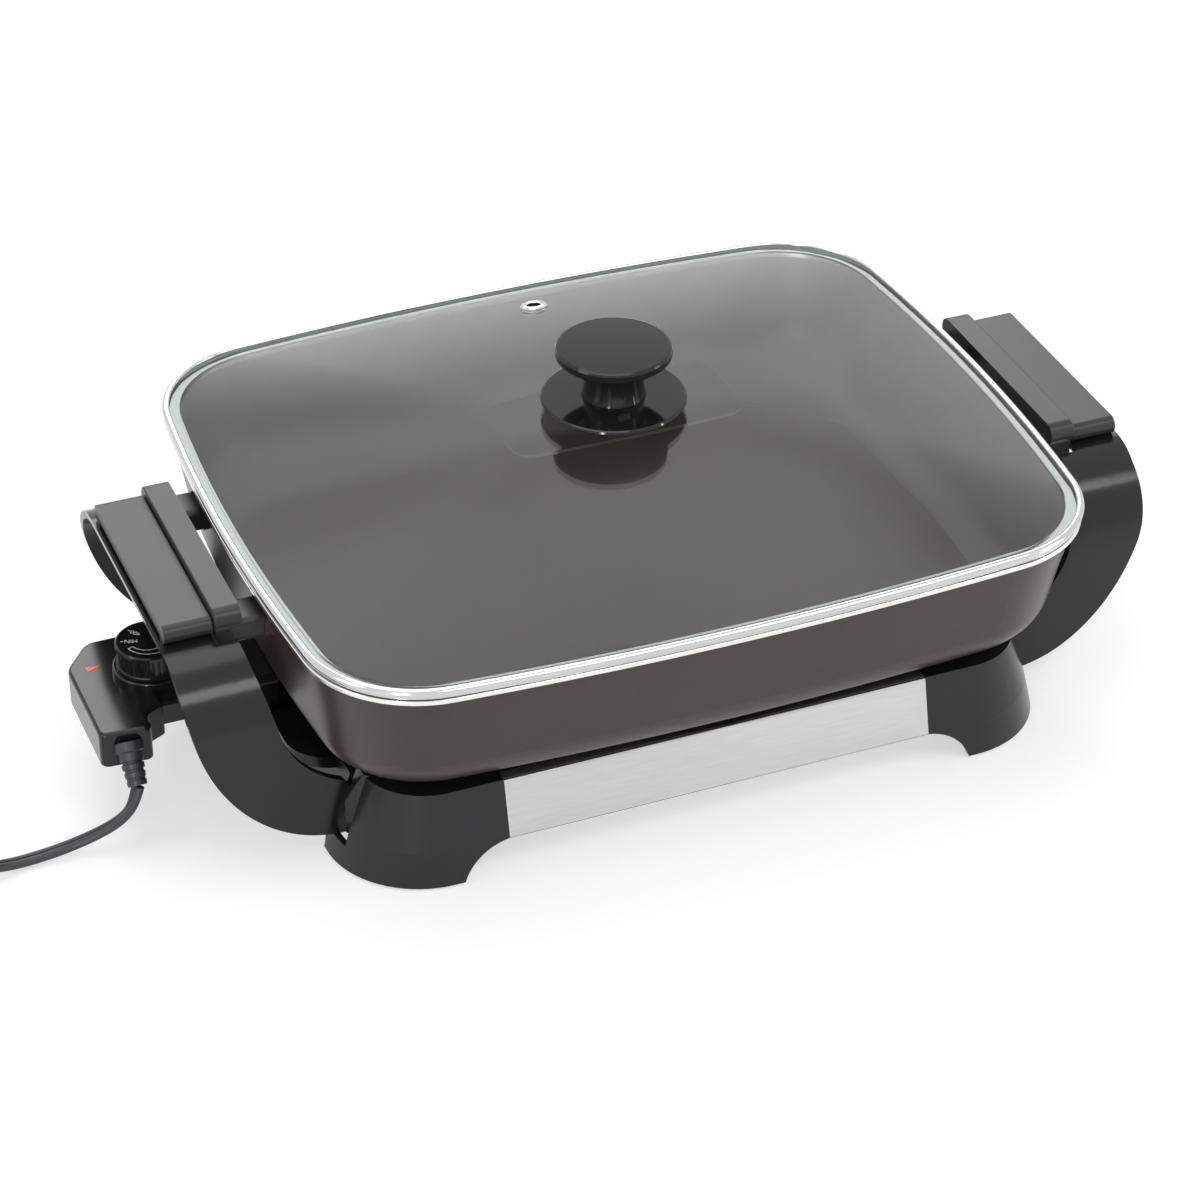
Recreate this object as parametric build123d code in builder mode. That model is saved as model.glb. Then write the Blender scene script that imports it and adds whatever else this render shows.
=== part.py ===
from build123d import *
import math
import os

# Electric skillet: a cast pan with its own side handles sits in a plastic base with arch
# handles.  A domed glass lid rests on the pan.  A plug-in temperature control with a dial,
# a probe and a mains cord goes into the pan's left end.
# Millimetres.  X runs along the long side, Y to the back, Z up.  The control is at -X.
# The origin is under the middle of the base, on the surface that the skillet stands on.

os.makedirs("parts", exist_ok=True)

# ---------------------------------------------------------------- driving dimensions
fit_gap = 0.3                   # between pieces that lift or slide apart
snug_gap = 0.1                  # between fixed pieces and round a running shaft

# pan
lip_half_x, lip_half_y = 199.0, 165.6
lip_corner = 58.0
side_bow = 9.8                  # how far each side of the outline bulges
lip_top = 123.9
lip_thickness = 2.2
lip_overhang = 3.5              # lip edge to the outside of the wall, at the front
wall_thickness = 3.8
wall_draft = 13.5               # degrees, at the front and the back
end_share = 0.64                # the end walls lean in this much of what the others do
outer_bend = 27.0               # radius between wall and underside, outside
inner_bend = 36.0               # the same inside the pan
foot_z = 44.0                   # underside of the pan's foot ring
floor_top = 59.5                # cooking surface
floor_thickness = 4.0
foot_in_x, foot_in_y, foot_corner, foot_bow = 48.9, 51.8, 17.7, 6.9   # in from the lip
foot_ring_width = 5.0
foot_half_x, foot_half_y = lip_half_x - foot_in_x, lip_half_y - foot_in_y
notch_half_y = 27.0             # gap in the foot ring for the heater's ends
corner_shrink = 0.38            # how fast corner radii shrink as an outline steps in

# base
base_top = 49.0
base_break = 20.0               # height where the upright foot meets the sloping wall
base_clearance = 1.2            # the plastic stands this far above the surface, on the pads
base_rim = (foot_half_x + 16.9, foot_half_y + 17.2, 32.0)       # half length, width and corner radius
base_waist = (base_rim[0] + 10.5, base_rim[1] + 7.0, 44.0)      # the same at the break
base_foot = (base_waist[0] + 5.5, base_waist[1] + 1.0, 48.0)    # the same at the surface
base_wall = 3.0
deck_underside = 39.0
seat_z = foot_z - fit_gap       # ledge that carries the pan's foot ring
pan_pocket_gap = 1.0
well_inset = 9.6                # pan pocket edge to the open middle of the base
side_deck_z = 42.0
side_deck_x = base_rim[0] - 3.5 # the side decks start here
shelf_x, shelf_corner, shelf_thickness = base_rim[0] + 23.0, 23.0, 6.0
arch_foot_x = base_rim[0] - 36.0
arch_crown_x = arch_foot_x - 23.0
side_arch_height = 10.5
pad_radius, pad_height = 8.0, 3.0
pad_x, pad_y = base_foot[0] - 34.0, base_foot[1] - 31.0
shield_screw_x, shield_screw_y = foot_half_x - 50.1, foot_half_y - 2.8
shield_screw_radius, shield_boss_radius = 1.5, 4.0
shield_half_x, shield_half_y, shield_corner = pad_x, pad_y + 10.0, 48.0
shield_low, shield_sheet = 30.0, 0.6
tab_screw_heights = (20.0, 32.0)
tab_block_length, tab_block_width = 14.0, 7.0

# steel panels
panel_half_x = arch_crown_x
panel_thickness = 0.9
panel_flange = 6.6              # how far the panel reaches over the base's top
panel_bend = 2.5

# grip strips of the pan
strip_inner_x = lip_half_x + 9.0
strip_outer_x = strip_inner_x + 12.9
strip_half_y, strip_low, strip_top = 60.5, 113.5, 125.3
bracket_y, bracket_width = 48.0, 20.0
bracket_low, bracket_high = 105.0, 117.0
bracket_screw_z = (bracket_low + bracket_high) / 2
bracket_screw_length = 24.5
lug_face_x = lip_half_x - 2.0

# arch handles of the base
arm_face_y = 95.0               # outer face of each upright
arm_thickness = 4.0
arm_bend = 40.0                 # shoulder radius, outside
arm_top = 112.0                 # height of the crown
arm_root_x = base_waist[0] - 3.5
arm_root_low, arm_root_high = 12.0, 42.0
tab_end_x, tab_low, tab_high = arm_root_x - 22.0, 14.0, 38.0
tab_block_x = arm_root_x - 15.0
tab_screw_y = arm_face_y - arm_thickness - snug_gap - tab_block_width - 0.4     # face of the blocks
rib_depth = 7.0
grip_half_y = 58.5
grip_thickness = 9.3
grip_inner_x = strip_outer_x + 0.7
grip_outer_x = grip_inner_x + 23.0
grip_screw_x, grip_screw_y = grip_inner_x + 10.4, 40.0
arm_edge_x = grip_outer_x + 1.4
flat_x, flat_y = arm_root_x - 9.5, arm_face_y + 10.5    # far edge of the flat on each corner
shelf_half_y, side_arch_y = arm_face_y - 18.0, arm_face_y - 7.0

# lid
rim_half_x, rim_half_y = lip_half_x + 1.0, lip_half_y + 1.9
rim_corner, rim_bow = lip_corner, side_bow + 1.2
rim_low = lip_top + fit_gap
rim_high = rim_low + 5.8
rim_width, rim_ledge_width, rim_skin = 8.0, 9.0, 0.8
glass_thickness = 3.5
glass_edge_top = rim_high - 1.1
dome_rise = 22.6
vent_x, vent_y, vent_hole_radius = 8.0, rim_half_y - 39.5, 4.5
vent_z = glass_edge_top + 8.2
knob_radius, knob_edge = 28.2, 5.2
knob_stem_radius = 15.6
disc_radius, disc_thickness = 35.4, 2.4
disc_top = glass_edge_top + dome_rise + 7.7
knob_top = disc_top + 27.4
knob_hole_radius, knob_screw_radius, insert_radius = 4.0, 2.5, 4.0
insert_top = knob_top - 10.6
washer_thickness = 1.5

# heater and probe
pin_y, pin_radius = 14.0, 2.4
element_radius = 3.3
pin_z = floor_top - floor_thickness - element_radius - 0.3
pin_root_x = -foot_half_x - 17.9
pin_tip_x = pin_root_x - 34.0
probe_radius, probe_tip_x = 2.5, pin_root_x + 62.0
guard_low, guard_high, guard_wall = foot_z - 0.2, foot_z + 17.8, 1.7
guard_half_y = notch_half_y + 4.0
guard_mouth_x = pin_tip_x - 4.0
guard_post_x, guard_post_y = -foot_half_x - 4.9, notch_half_y - 5.0

# control
body_low = foot_z - 3.0
body_high = body_low + 19.0
neck_low, neck_high, neck_half_y = foot_z + 2.0, foot_z + 15.0, guard_half_y - 3.0
neck_end_gap = 3.0              # control's nose to the outside of the guard's back wall
split_z = neck_low + 4.0
shell_wall = 2.2
dial_x, dial_radius = guard_mouth_x - 31.5, 16.4
dial_seat = body_high + 3.6
dial_top = dial_seat + 13.4
dial_low = dial_seat + fit_gap
groove_count, groove_radius, shaft_socket = 36, 0.55, 8.0
boss_radius = 18.4
shaft_radius = 3.0
leg_x, leg_y = dial_x - 24.5, -44.5             # middle of the end face that the cord leaves
relief_z = (body_low + body_high) / 2
relief_drop = 52.5              # degrees below level
relief_length = 18.0

# cord
cord_radius = 3.5
coil_x, coil_y = -396.0, -88.0
coil_inner, coil_outer = 28.3, 51.5
coil_low, coil_high = 1.0, 8.0
coil_mid_z = (coil_low + coil_high) / 2
tail_end_y, plug_z = -122.0, 7.2
plug_length, plug_width, plug_height, plug_boot_length = 30.0, 24.0, 14.0, 14.0
prong_pitch, prong_width, prong_thickness = 12.7, 6.35, 1.5
prong_length, prong_root = 17.0, 6.0


# ---------------------------------------------------------------- outlines
def bowed(half_x, half_y, corner, bow):
    """A rounded rectangle whose four sides bulge."""
    inner_x, inner_y = half_x - bow, half_y - bow
    with BuildSketch() as outline:
        with BuildLine():
            ThreePointArc((inner_x, -inner_y), (half_x, 0), (inner_x, inner_y))
            ThreePointArc((inner_x, inner_y), (0, half_y), (-inner_x, inner_y))
            ThreePointArc((-inner_x, inner_y), (-half_x, 0), (-inner_x, -inner_y))
            ThreePointArc((-inner_x, -inner_y), (0, -half_y), (inner_x, -inner_y))
        make_face()
        fillet(outline.vertices(), corner)
    return outline.sketch


def pan_outline(inset, skin=0):
    """The pan's outline, leant in from the lip's edge, and less a skin all round."""
    return bowed(
        lip_half_x - end_share * inset - skin, lip_half_y - inset - skin,
        lip_corner - corner_shrink * inset - skin, side_bow * (1 - inset / lip_half_y),
    )


def foot_outline(step):
    """The foot ring's outline, grown by a step."""
    return bowed(foot_half_x + step, foot_half_y + step, foot_corner + step, foot_bow)


def rim_outline(inset):
    """The lid's outline, stepped in from the outside of its steel rim."""
    half_y = rim_half_y - inset
    share = half_y / rim_half_y
    return bowed(rim_half_x - inset, half_y, max(rim_corner * share, 6), rim_bow * share)


def wall_inset(height, bend, centre_z):
    """Inset of a drafted wall that turns into the floor with a bend."""
    draft = math.radians(wall_draft)
    tangent_z = centre_z - bend * math.sin(draft)
    straight = lip_overhang + (lip_top - lip_thickness - max(height, tangent_z)) * math.tan(draft)
    if height >= tangent_z:
        return straight
    centre_inset = straight + bend * math.cos(draft)
    return centre_inset - math.sqrt(max(bend ** 2 - (centre_z - height) ** 2, 0))


def wall_heights(high, bend, centre_z, steps):
    """Section heights: the rim, then equal angles round the bend down to the floor."""
    first, last = math.radians(wall_draft), math.radians(88)
    angles = [first + (last - first) * k / steps for k in range(steps + 1)]
    return [high] + [centre_z - bend * math.sin(a) for a in angles]


floor_underside = floor_top - floor_thickness
outer_centre_z = floor_underside + outer_bend
inner_centre_z = floor_top + inner_bend
# back of the guard round the terminals, clear of the pan's end wall
guard_back_x = end_share * wall_inset(guard_high, outer_bend, outer_centre_z) - lip_half_x - fit_gap
neck_end_x = guard_back_x - neck_end_gap

# ---------------------------------------------------------------- base frame
with BuildPart() as base_frame:
    for height, (half_x, half_y, corner) in (
        (base_clearance, base_foot),
        (base_break, base_waist),
        (base_top, base_rim),
    ):
        with BuildSketch(Plane.XY.offset(height)):
            RectangleRounded(2 * half_x, 2 * half_y, corner)
    loft(ruled=True)
    # side shelves under the handles
    with BuildSketch(Plane.XY.offset(side_deck_z - shelf_thickness)):
        RectangleRounded(2 * shelf_x, 2 * shelf_half_y, shelf_corner)
    extrude(amount=shelf_thickness)
    # lower decks at both ends, between the corners
    with BuildSketch(Plane.XY.offset(side_deck_z)):
        with Locations((side_deck_x + 20, 0), (-side_deck_x - 20, 0)):
            Rectangle(40, 2 * arm_face_y)
    extrude(amount=base_top, mode=Mode.SUBTRACT)
    # pocket that the pan's underside drops into, its ledge and the open middle
    with BuildSketch(Plane.XY.offset(seat_z)):
        add(foot_outline(pan_pocket_gap))
    extrude(amount=base_top, mode=Mode.SUBTRACT)
    with BuildSketch():
        add(foot_outline(pan_pocket_gap - well_inset))
    extrude(amount=base_top, mode=Mode.SUBTRACT)
    # hollow inside of the skirt
    for height, (half_x, half_y, corner) in (
        (0, base_foot),
        (base_break, base_waist),
        (deck_underside, (base_rim[0] + 3, base_rim[1] + 2.4, base_rim[2] + 3)),
    ):
        with BuildSketch(Plane.XY.offset(height)):
            RectangleRounded(2 * (half_x - base_wall), 2 * (half_y - base_wall), corner - base_wall)
    loft(ruled=True, mode=Mode.SUBTRACT)
    # arches between the feet, front to back and side to side
    with BuildSketch(Plane.XZ):
        with BuildLine():
            Polyline((-arch_crown_x, base_break), (arch_crown_x, base_break))
            ThreePointArc((arch_crown_x, base_break), (arch_foot_x - 8.5, 13.5), (arch_foot_x, 0))
            Polyline((arch_foot_x, 0), (arch_foot_x, -5), (-arch_foot_x, -5), (-arch_foot_x, 0))
            ThreePointArc((-arch_foot_x, 0), (8.5 - arch_foot_x, 13.5), (-arch_crown_x, base_break))
        make_face()
    extrude(amount=200, both=True, mode=Mode.SUBTRACT)
    with BuildSketch(Plane.YZ):
        RectangleRounded(2 * side_arch_y, 2 * side_arch_height, side_arch_height - 1)
    extrude(amount=230, both=True, mode=Mode.SUBTRACT)
    # posts over the rubber pads
    with BuildSketch(Plane.XY.offset(base_clearance)):
        with GridLocations(2 * pad_x, 2 * pad_y, 2, 2):
            Circle(pad_radius + 3)
    extrude(until=Until.NEXT)
    with BuildSketch():
        with GridLocations(2 * pad_x, 2 * pad_y, 2, 2):
            Circle(pad_radius)
    extrude(amount=pad_height, mode=Mode.SUBTRACT)
    # blocks that the handle tabs screw to
    with BuildSketch(Plane.XY.offset(side_arch_height + 1)):
        with GridLocations(2 * tab_block_x, 2 * (tab_screw_y + tab_block_width / 2), 2, 2):
            Rectangle(tab_block_length, tab_block_width)
    extrude(until=Until.NEXT)
    # blocks behind the corner flats
    for turn_x in (-1, 1):
        for turn_y in (-1, 1):
            with BuildSketch(Plane.XY.offset(side_arch_height + 1)):
                with BuildLine():
                    Polyline(
                        (turn_x * (arm_root_x - 24), turn_y * arm_face_y),
                        (turn_x * arm_root_x, turn_y * arm_face_y),
                        (turn_x * flat_x, turn_y * flat_y),
                        (turn_x * (arm_root_x - 24), turn_y * flat_y),
                        close=True,
                    )
                make_face()
            extrude(until=Until.NEXT)
    # slots that the handle tabs stand in
    with BuildSketch(Plane.XY.offset(arm_root_low - snug_gap)):
        with GridLocations(2 * (arm_root_x - 5), 2 * (arm_face_y - arm_thickness / 2), 2, 2):
            Rectangle(36, arm_thickness + 2 * snug_gap)
    extrude(amount=base_top, mode=Mode.SUBTRACT)
    # flats on the four corners, beside the handle roots
    for turn_x in (-1, 1):
        for turn_y in (-1, 1):
            with BuildSketch(Plane.XY.offset(arm_root_low)):
                with BuildLine():
                    Polyline(
                        (turn_x * arm_root_x, turn_y * arm_face_y),
                        (turn_x * flat_x, turn_y * flat_y),
                        (turn_x * (arm_root_x + 16), turn_y * flat_y),
                        (turn_x * (arm_root_x + 16), turn_y * arm_face_y),
                        close=True,
                    )
                make_face()
            extrude(amount=base_top, mode=Mode.SUBTRACT)
    # way through the left wall for the guard round the pan's terminals
    with BuildSketch(Plane.XY.offset(side_deck_z)):
        with Locations((pin_root_x + 18, 0)):
            Rectangle(60, 2 * (guard_half_y + 3))
    extrude(amount=base_top, mode=Mode.SUBTRACT)


# ---------------------------------------------------------------- steel panels
# A strip of stainless steel bent over the front edge of the base.
def panel_section(side):
    """The bent strip seen from the end; side is -1 at the front and 1 at the back."""
    low = Vector(side * (base_waist[1] + 0.3), base_break + 0.5)
    bend = Vector(side * (base_rim[1] + 0.3), base_top + 0.3)
    rear = Vector(side * (base_rim[1] + 0.3 - panel_flange), base_top + 0.3)
    along = (bend - low).normalized()
    inward = Vector(-side * along.Y, side * along.X)
    low_in = low + inward * panel_thickness
    rear_in = rear - Vector(0, panel_thickness)
    bend_in = low_in + along * ((rear_in.Y - low_in.Y) / along.Y)
    with BuildSketch(Plane.YZ) as section:
        with BuildLine():
            FilletPolyline(low, bend, rear, radius=panel_bend)
            FilletPolyline(low_in, bend_in, rear_in, radius=panel_bend - panel_thickness)
            Line(low, low_in)
            Line(rear, rear_in)
        make_face()
    return section.sketch


def panel(side, half_length):
    """A bent strip of the given half length, in the middle of the front or the back."""
    with BuildPart() as strip:
        add(panel_section(side).moved(Location((-half_length, 0, 0))))
        extrude(amount=2 * half_length, dir=(1, 0, 0))
    return strip.part


with base_frame:
    for side in (-1, 1):
        add(panel(side, panel_half_x + snug_gap), mode=Mode.SUBTRACT)

with BuildPart() as front_panel:
    add(panel(-1, panel_half_x))
with BuildPart() as rear_panel:
    add(panel(1, panel_half_x))


# ---------------------------------------------------------------- arch handles
def arch_section(face_y, crown, bend, thickness):
    """The arch seen from the end of the skillet: two uprights, shoulders and a crown."""
    with BuildSketch(Plane.YZ) as section:
        with BuildLine():
            for step in (0, thickness):
                half, top, turn = face_y - step, crown - step, bend - step
                Polyline((-half, 0), (-half, top - turn))
                RadiusArc((-half, top - turn), (turn - half, top), turn)
                Polyline((turn - half, top), (half - turn, top))
                RadiusArc((half - turn, top), (half, top - turn), turn)
                Polyline((half, top - turn), (half, 0))
            Polyline((-face_y, 0), (thickness - face_y, 0))
            Polyline((face_y, 0), (face_y - thickness, 0))
        make_face()
    return section.sketch


throat_x = arm_root_x + 28.5    # inner edge of the uprights, half way up


def arm_outline():
    """The C-shaped side view of an arch handle, on the right, with its tab in the base."""
    with BuildSketch(Plane.XZ) as outline:
        with BuildLine():
            Polyline((arm_edge_x + 3, 126), (throat_x + 12.5, 126), (throat_x, 74))
            ThreePointArc((throat_x, 74), (throat_x - 7.9, 58), (arm_root_x, arm_root_high))
            Polyline(
                (arm_root_x, arm_root_high), (arm_root_x - 3, tab_high),
                (tab_end_x, tab_high), (tab_end_x, tab_low), (arm_root_x - 3, tab_low),
                (arm_root_x, arm_root_low),
            )
            EllipticalCenterArc(
                (arm_root_x, 106), arm_edge_x - arm_root_x, 106 - arm_root_low,
                start_angle=270, arc_size=90,
            )
            Polyline((arm_edge_x, 106), (arm_edge_x + 3, 126))
        make_face()
    return outline.sketch


def rib_outline():
    """The stiffening rib: a narrower C that follows the middle of the arm."""
    with BuildSketch(Plane.XZ) as outline:
        with BuildLine():
            ThreePointArc((throat_x + 19.5, 70), (throat_x + 8.5, 48), (throat_x - 18.5, 32))
            Line((throat_x - 18.5, 32), (throat_x - 18.5, 29.6))
            ThreePointArc((throat_x - 18.5, 29.6), (throat_x + 10.5, 46), (throat_x + 22, 70))
            Line((throat_x + 22, 70), (throat_x + 19.5, 70))
        make_face()
    return outline.sketch


def arch_handle():
    """The right-hand arch handle."""
    with BuildPart() as arch:
        add(arch_section(arm_face_y, arm_top, arm_bend, arm_thickness).moved(Location((arm_root_x - 24, 0, 0))))
        extrude(amount=arm_edge_x - arm_root_x + 28, dir=(1, 0, 0))
        add(arm_outline().moved(Location((0, 120, 0))))
        extrude(amount=240, dir=(0, -1, 0), mode=Mode.INTERSECT)
        # the crown gives way to the pan's own grip strip
        with BuildSketch(Plane.XY.offset(100)):
            with Locations((lip_half_x, 0)):
                Rectangle(2 * (grip_inner_x - lip_half_x), 2 * (strip_half_y + 2.5))
        extrude(amount=40, mode=Mode.SUBTRACT)
        # stiffening ribs inside the uprights
        for turn in (-1, 1):
            inner_y = arm_face_y - arm_thickness
            add(rib_outline().moved(Location((0, turn * inner_y, 0))))
            extrude(amount=rib_depth, dir=(0, -turn, 0))
    return arch.part


with BuildPart() as handle_right:
    add(arch_handle())
with BuildPart() as handle_left:
    add(mirror(handle_right.part, about=Plane.YZ, mode=Mode.PRIVATE))


def grip_cover():
    """The grip on the crown of the right-hand arch, with bullnose ends."""
    with BuildPart() as cover:
        with BuildSketch(Plane.YZ.offset(grip_inner_x)):
            with Locations((0, arm_top + grip_thickness / 2)):
                SlotOverall(2 * grip_half_y, grip_thickness)
        extrude(amount=grip_outer_x - grip_inner_x)
        # shadow groove along the lower outer edge
        with BuildSketch(Plane.XZ):
            with Locations((grip_outer_x, arm_top + 1.2)):
                Rectangle(3.2, 2.4)
        extrude(amount=grip_half_y - 8, both=True, mode=Mode.SUBTRACT)
    return cover.part


with BuildPart() as grip_right:
    add(grip_cover())
with BuildPart() as grip_left:
    add(mirror(grip_right.part, about=Plane.YZ, mode=Mode.PRIVATE))

# ---------------------------------------------------------------- base hardware
def screw(length, shank_radius, head_radius, head_height):
    """A pan-head screw pointing up: the head's underside is at z = 0."""
    with BuildPart() as fastener:
        with BuildSketch():
            Circle(shank_radius)
        extrude(amount=length)
        with BuildSketch(Plane.XY.offset(-head_height)):
            Circle(head_radius)
        extrude(amount=head_height)
        fillet(fastener.faces().sort_by(Axis.Z)[0].edges(), head_height * 0.45)
        with BuildSketch(Plane.XY.offset(-head_height)):
            Rectangle(head_radius, head_radius * 0.28)
            Rectangle(head_radius * 0.28, head_radius)
        extrude(amount=head_height * 0.5, mode=Mode.SUBTRACT)
    return fastener.part


def screw_hole(length, shank_radius, head_radius, head_height):
    """The room that a screw and its sunk head take, for cutting."""
    with BuildPart() as hole:
        Cylinder(shank_radius, length, align=(Align.CENTER, Align.CENTER, Align.MIN))
        Cylinder(head_radius, head_height, align=(Align.CENTER, Align.CENTER, Align.MAX))
    return hole.part


shield_screws_at = [
    (x, side * shield_screw_y) for x in (-shield_screw_x, 0, shield_screw_x) for side in (-1, 1)
]

# two screws through each block into the handle's tab
with BuildPart() as handle_screws:
    for turn_x in (-1, 1):
        for turn_y in (-1, 1):
            for height in tab_screw_heights:
                with Locations(Location((turn_x * tab_block_x, turn_y * tab_screw_y, height), (-90 * turn_y, 0, 0))):
                    add(screw(10.5, 1.6, 3.4, 2.4))
with base_frame:
    add(handle_screws.part, mode=Mode.SUBTRACT)
with handle_right:
    add(handle_screws.part, mode=Mode.SUBTRACT)
with handle_left:
    add(handle_screws.part, mode=Mode.SUBTRACT)

# two screws up through each crown into the grip
crown_underside = arm_top - arm_thickness
with BuildPart() as grip_screws:
    with Locations(*[
        (turn * grip_screw_x, y, crown_underside)
        for turn in (-1, 1) for y in (-grip_screw_y, grip_screw_y)
    ]):
        add(screw(9.5, 1.4, 3.0, 2.0))
for piece in (handle_left, handle_right, grip_left, grip_right):
    with piece:
        add(grip_screws.part, mode=Mode.SUBTRACT)

# pads under the corners
with BuildPart() as rubber_feet:
    with BuildSketch():
        with GridLocations(2 * pad_x, 2 * pad_y, 2, 2):
            Circle(pad_radius)
    extrude(amount=pad_height)
    fillet(rubber_feet.faces().group_by(Axis.Z)[0].edges(), 0.8)

# steel sheet that keeps the heater's warmth off the table, screwed to bosses under the deck
with BuildPart() as heat_shield:
    with BuildSketch(Plane.XY.offset(shield_low)):
        RectangleRounded(2 * shield_half_x, 2 * shield_half_y, shield_corner)
        with Locations(*shield_screws_at):
            Circle(shield_screw_radius + snug_gap, mode=Mode.SUBTRACT)
    extrude(amount=shield_sheet)

with BuildPart() as shield_screws:
    with Locations(*[(x, y, shield_low) for x, y in shield_screws_at]):
        add(screw(8.0, shield_screw_radius, 3.0, 1.8))
with base_frame:
    with BuildSketch(Plane.XY.offset(shield_low + shield_sheet)):
        with Locations(*shield_screws_at):
            Circle(shield_boss_radius)
    extrude(until=Until.NEXT)
    add(shield_screws.part, mode=Mode.SUBTRACT)

# ---------------------------------------------------------------- pan
def dish(high, bend, centre_z, skin):
    """The pan's form up to a height: a straight drafted wall on a bend into a flat bottom."""
    heights = wall_heights(high, bend, centre_z, 5)
    with BuildPart() as form:
        for run in (heights[:2], heights[1:]):
            for height in run:
                with BuildSketch(Plane.XY.offset(height)):
                    add(pan_outline(wall_inset(height, bend, centre_z), skin))
            loft(ruled=len(run) == 2)
    return form.part


with BuildPart() as pan:
    # outside of the wall and its bend
    add(dish(lip_top - lip_thickness, outer_bend, outer_centre_z, 0))
    # lip
    with BuildSketch(Plane.XY.offset(lip_top - lip_thickness)):
        add(pan_outline(0))
    extrude(amount=lip_thickness)
    fillet(pan.faces().sort_by(Axis.Z)[-1].edges(), 0.7)
    # lugs on both ends that the grip strips screw to
    for turn in (-1, 1):
        for y in (-bracket_y, bracket_y):
            with BuildSketch(Plane.YZ.offset(turn * lug_face_x)):
                with Locations((y, (bracket_low + bracket_high) / 2)):
                    RectangleRounded(bracket_width + 2, bracket_high - bracket_low, 3)
            extrude(amount=9, dir=(-turn, 0, 0))
    # foot ring
    with BuildSketch(Plane.XY.offset(foot_z)):
        add(foot_outline(0))
        add(foot_outline(-foot_ring_width), mode=Mode.SUBTRACT)
    extrude(amount=floor_underside - foot_z + 0.5)
    # cooking space
    add(dish(lip_top + 1, inner_bend, inner_centre_z, wall_thickness), mode=Mode.SUBTRACT)
    # gap in the foot ring where the heater's ends and the probe come out
    with BuildSketch(Plane.XY.offset(foot_z - 1)):
        with Locations((-foot_half_x - 14.9, 0)):
            Rectangle(70, 2 * notch_half_y)
    extrude(amount=floor_underside - foot_z + 1, mode=Mode.SUBTRACT)
    # well for the probe and posts for the guard
    probe_well_low = pin_z - probe_radius - 2.4
    with BuildSketch(Plane.YZ.offset(pin_root_x + 6)):
        with Locations((0, (floor_underside + probe_well_low) / 2)):
            Rectangle(10, floor_underside - probe_well_low + 0.2)
    extrude(amount=probe_tip_x - pin_root_x - 6 + 4)
    with BuildSketch(Plane.XY.offset(guard_low + 2)):
        with Locations(*[(guard_post_x, y) for y in (-guard_post_y, guard_post_y)]):
            Circle(3.6)
    extrude(amount=floor_underside - guard_low - 2 + 0.2)
    with BuildSketch(Plane.YZ.offset(pin_root_x)):
        with Locations((0, pin_z)):
            Circle(probe_radius + fit_gap)
    extrude(amount=probe_tip_x - pin_root_x + 1, mode=Mode.SUBTRACT)

# heating element: one tube in a loop under the floor
loop_x, loop_y, lead_x = foot_half_x - 32.1, foot_half_y - 35.8, 18.1 - foot_half_x
with BuildPart() as heating_element:
    with BuildLine():
        FilletPolyline(
            (pin_root_x, -pin_y, pin_z), (lead_x, -pin_y, pin_z), (lead_x, -loop_y, pin_z),
            (loop_x, -loop_y, pin_z), (loop_x, loop_y, pin_z), (lead_x, loop_y, pin_z),
            (lead_x, pin_y, pin_z), (pin_root_x, pin_y, pin_z), radius=14,
        )
    with BuildSketch(Plane.YZ.offset(pin_root_x)):
        with Locations((-pin_y, pin_z)):
            Circle(element_radius)
    sweep()

with BuildPart() as terminal_pins:
    with BuildSketch(Plane.YZ.offset(pin_tip_x)):
        with Locations((-pin_y, pin_z), (pin_y, pin_z)):
            Circle(pin_radius)
    extrude(amount=pin_root_x - pin_tip_x)
    chamfer(terminal_pins.faces().group_by(Axis.X)[0].edges(), 0.8)

with BuildPart() as terminal_insulators:
    with BuildSketch(Plane.YZ.offset(guard_back_x - 1.6)):
        with Locations((-pin_y, pin_z), (pin_y, pin_z)):
            Circle(4.2)
            Circle(pin_radius, mode=Mode.SUBTRACT)
    extrude(amount=6.5)

# shroud round the pins: a box open to the left, with a tongue under the pan
with BuildPart() as terminal_guard:
    mid_z = (guard_low + guard_high) / 2
    with BuildSketch(Plane.YZ.offset(guard_mouth_x)):
        with Locations((0, mid_z)):
            RectangleRounded(2 * guard_half_y, guard_high - guard_low, 4)
    extrude(amount=guard_back_x - guard_mouth_x)
    with BuildSketch(Plane.YZ.offset(guard_mouth_x - 1)):
        with Locations((0, mid_z)):
            RectangleRounded(2 * (guard_half_y - guard_wall), guard_high - guard_low - 2 * guard_wall, 2.3)
    extrude(amount=guard_back_x - guard_mouth_x + 1 - guard_wall, mode=Mode.SUBTRACT)
    with BuildSketch(Plane.XY.offset(guard_low)):
        with Locations(((guard_back_x + guard_post_x + 5) / 2 - 1, 0)):
            Rectangle(guard_post_x + 5 - guard_back_x + 2, 2 * (notch_half_y - 0.5))
    extrude(amount=2)
    with BuildSketch(Plane.YZ.offset(guard_back_x - 3)):
        with Locations((-pin_y, pin_z), (pin_y, pin_z)):
            Circle(4.2)
        with Locations((0, pin_z)):
            Circle(probe_radius + 1)
    extrude(amount=6, mode=Mode.SUBTRACT)

guard_screws_at = [(guard_post_x, y, guard_low + 1.2) for y in (-guard_post_y, guard_post_y)]
with BuildPart() as guard_screws:
    with Locations(*guard_screws_at):
        add(screw(8.5, 1.4, 2.8, 1.1))
for piece in (terminal_guard, pan):
    with piece:
        with Locations(*guard_screws_at):
            add(screw_hole(8.5, 1.4, 2.9, 1.4), mode=Mode.SUBTRACT)


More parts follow.
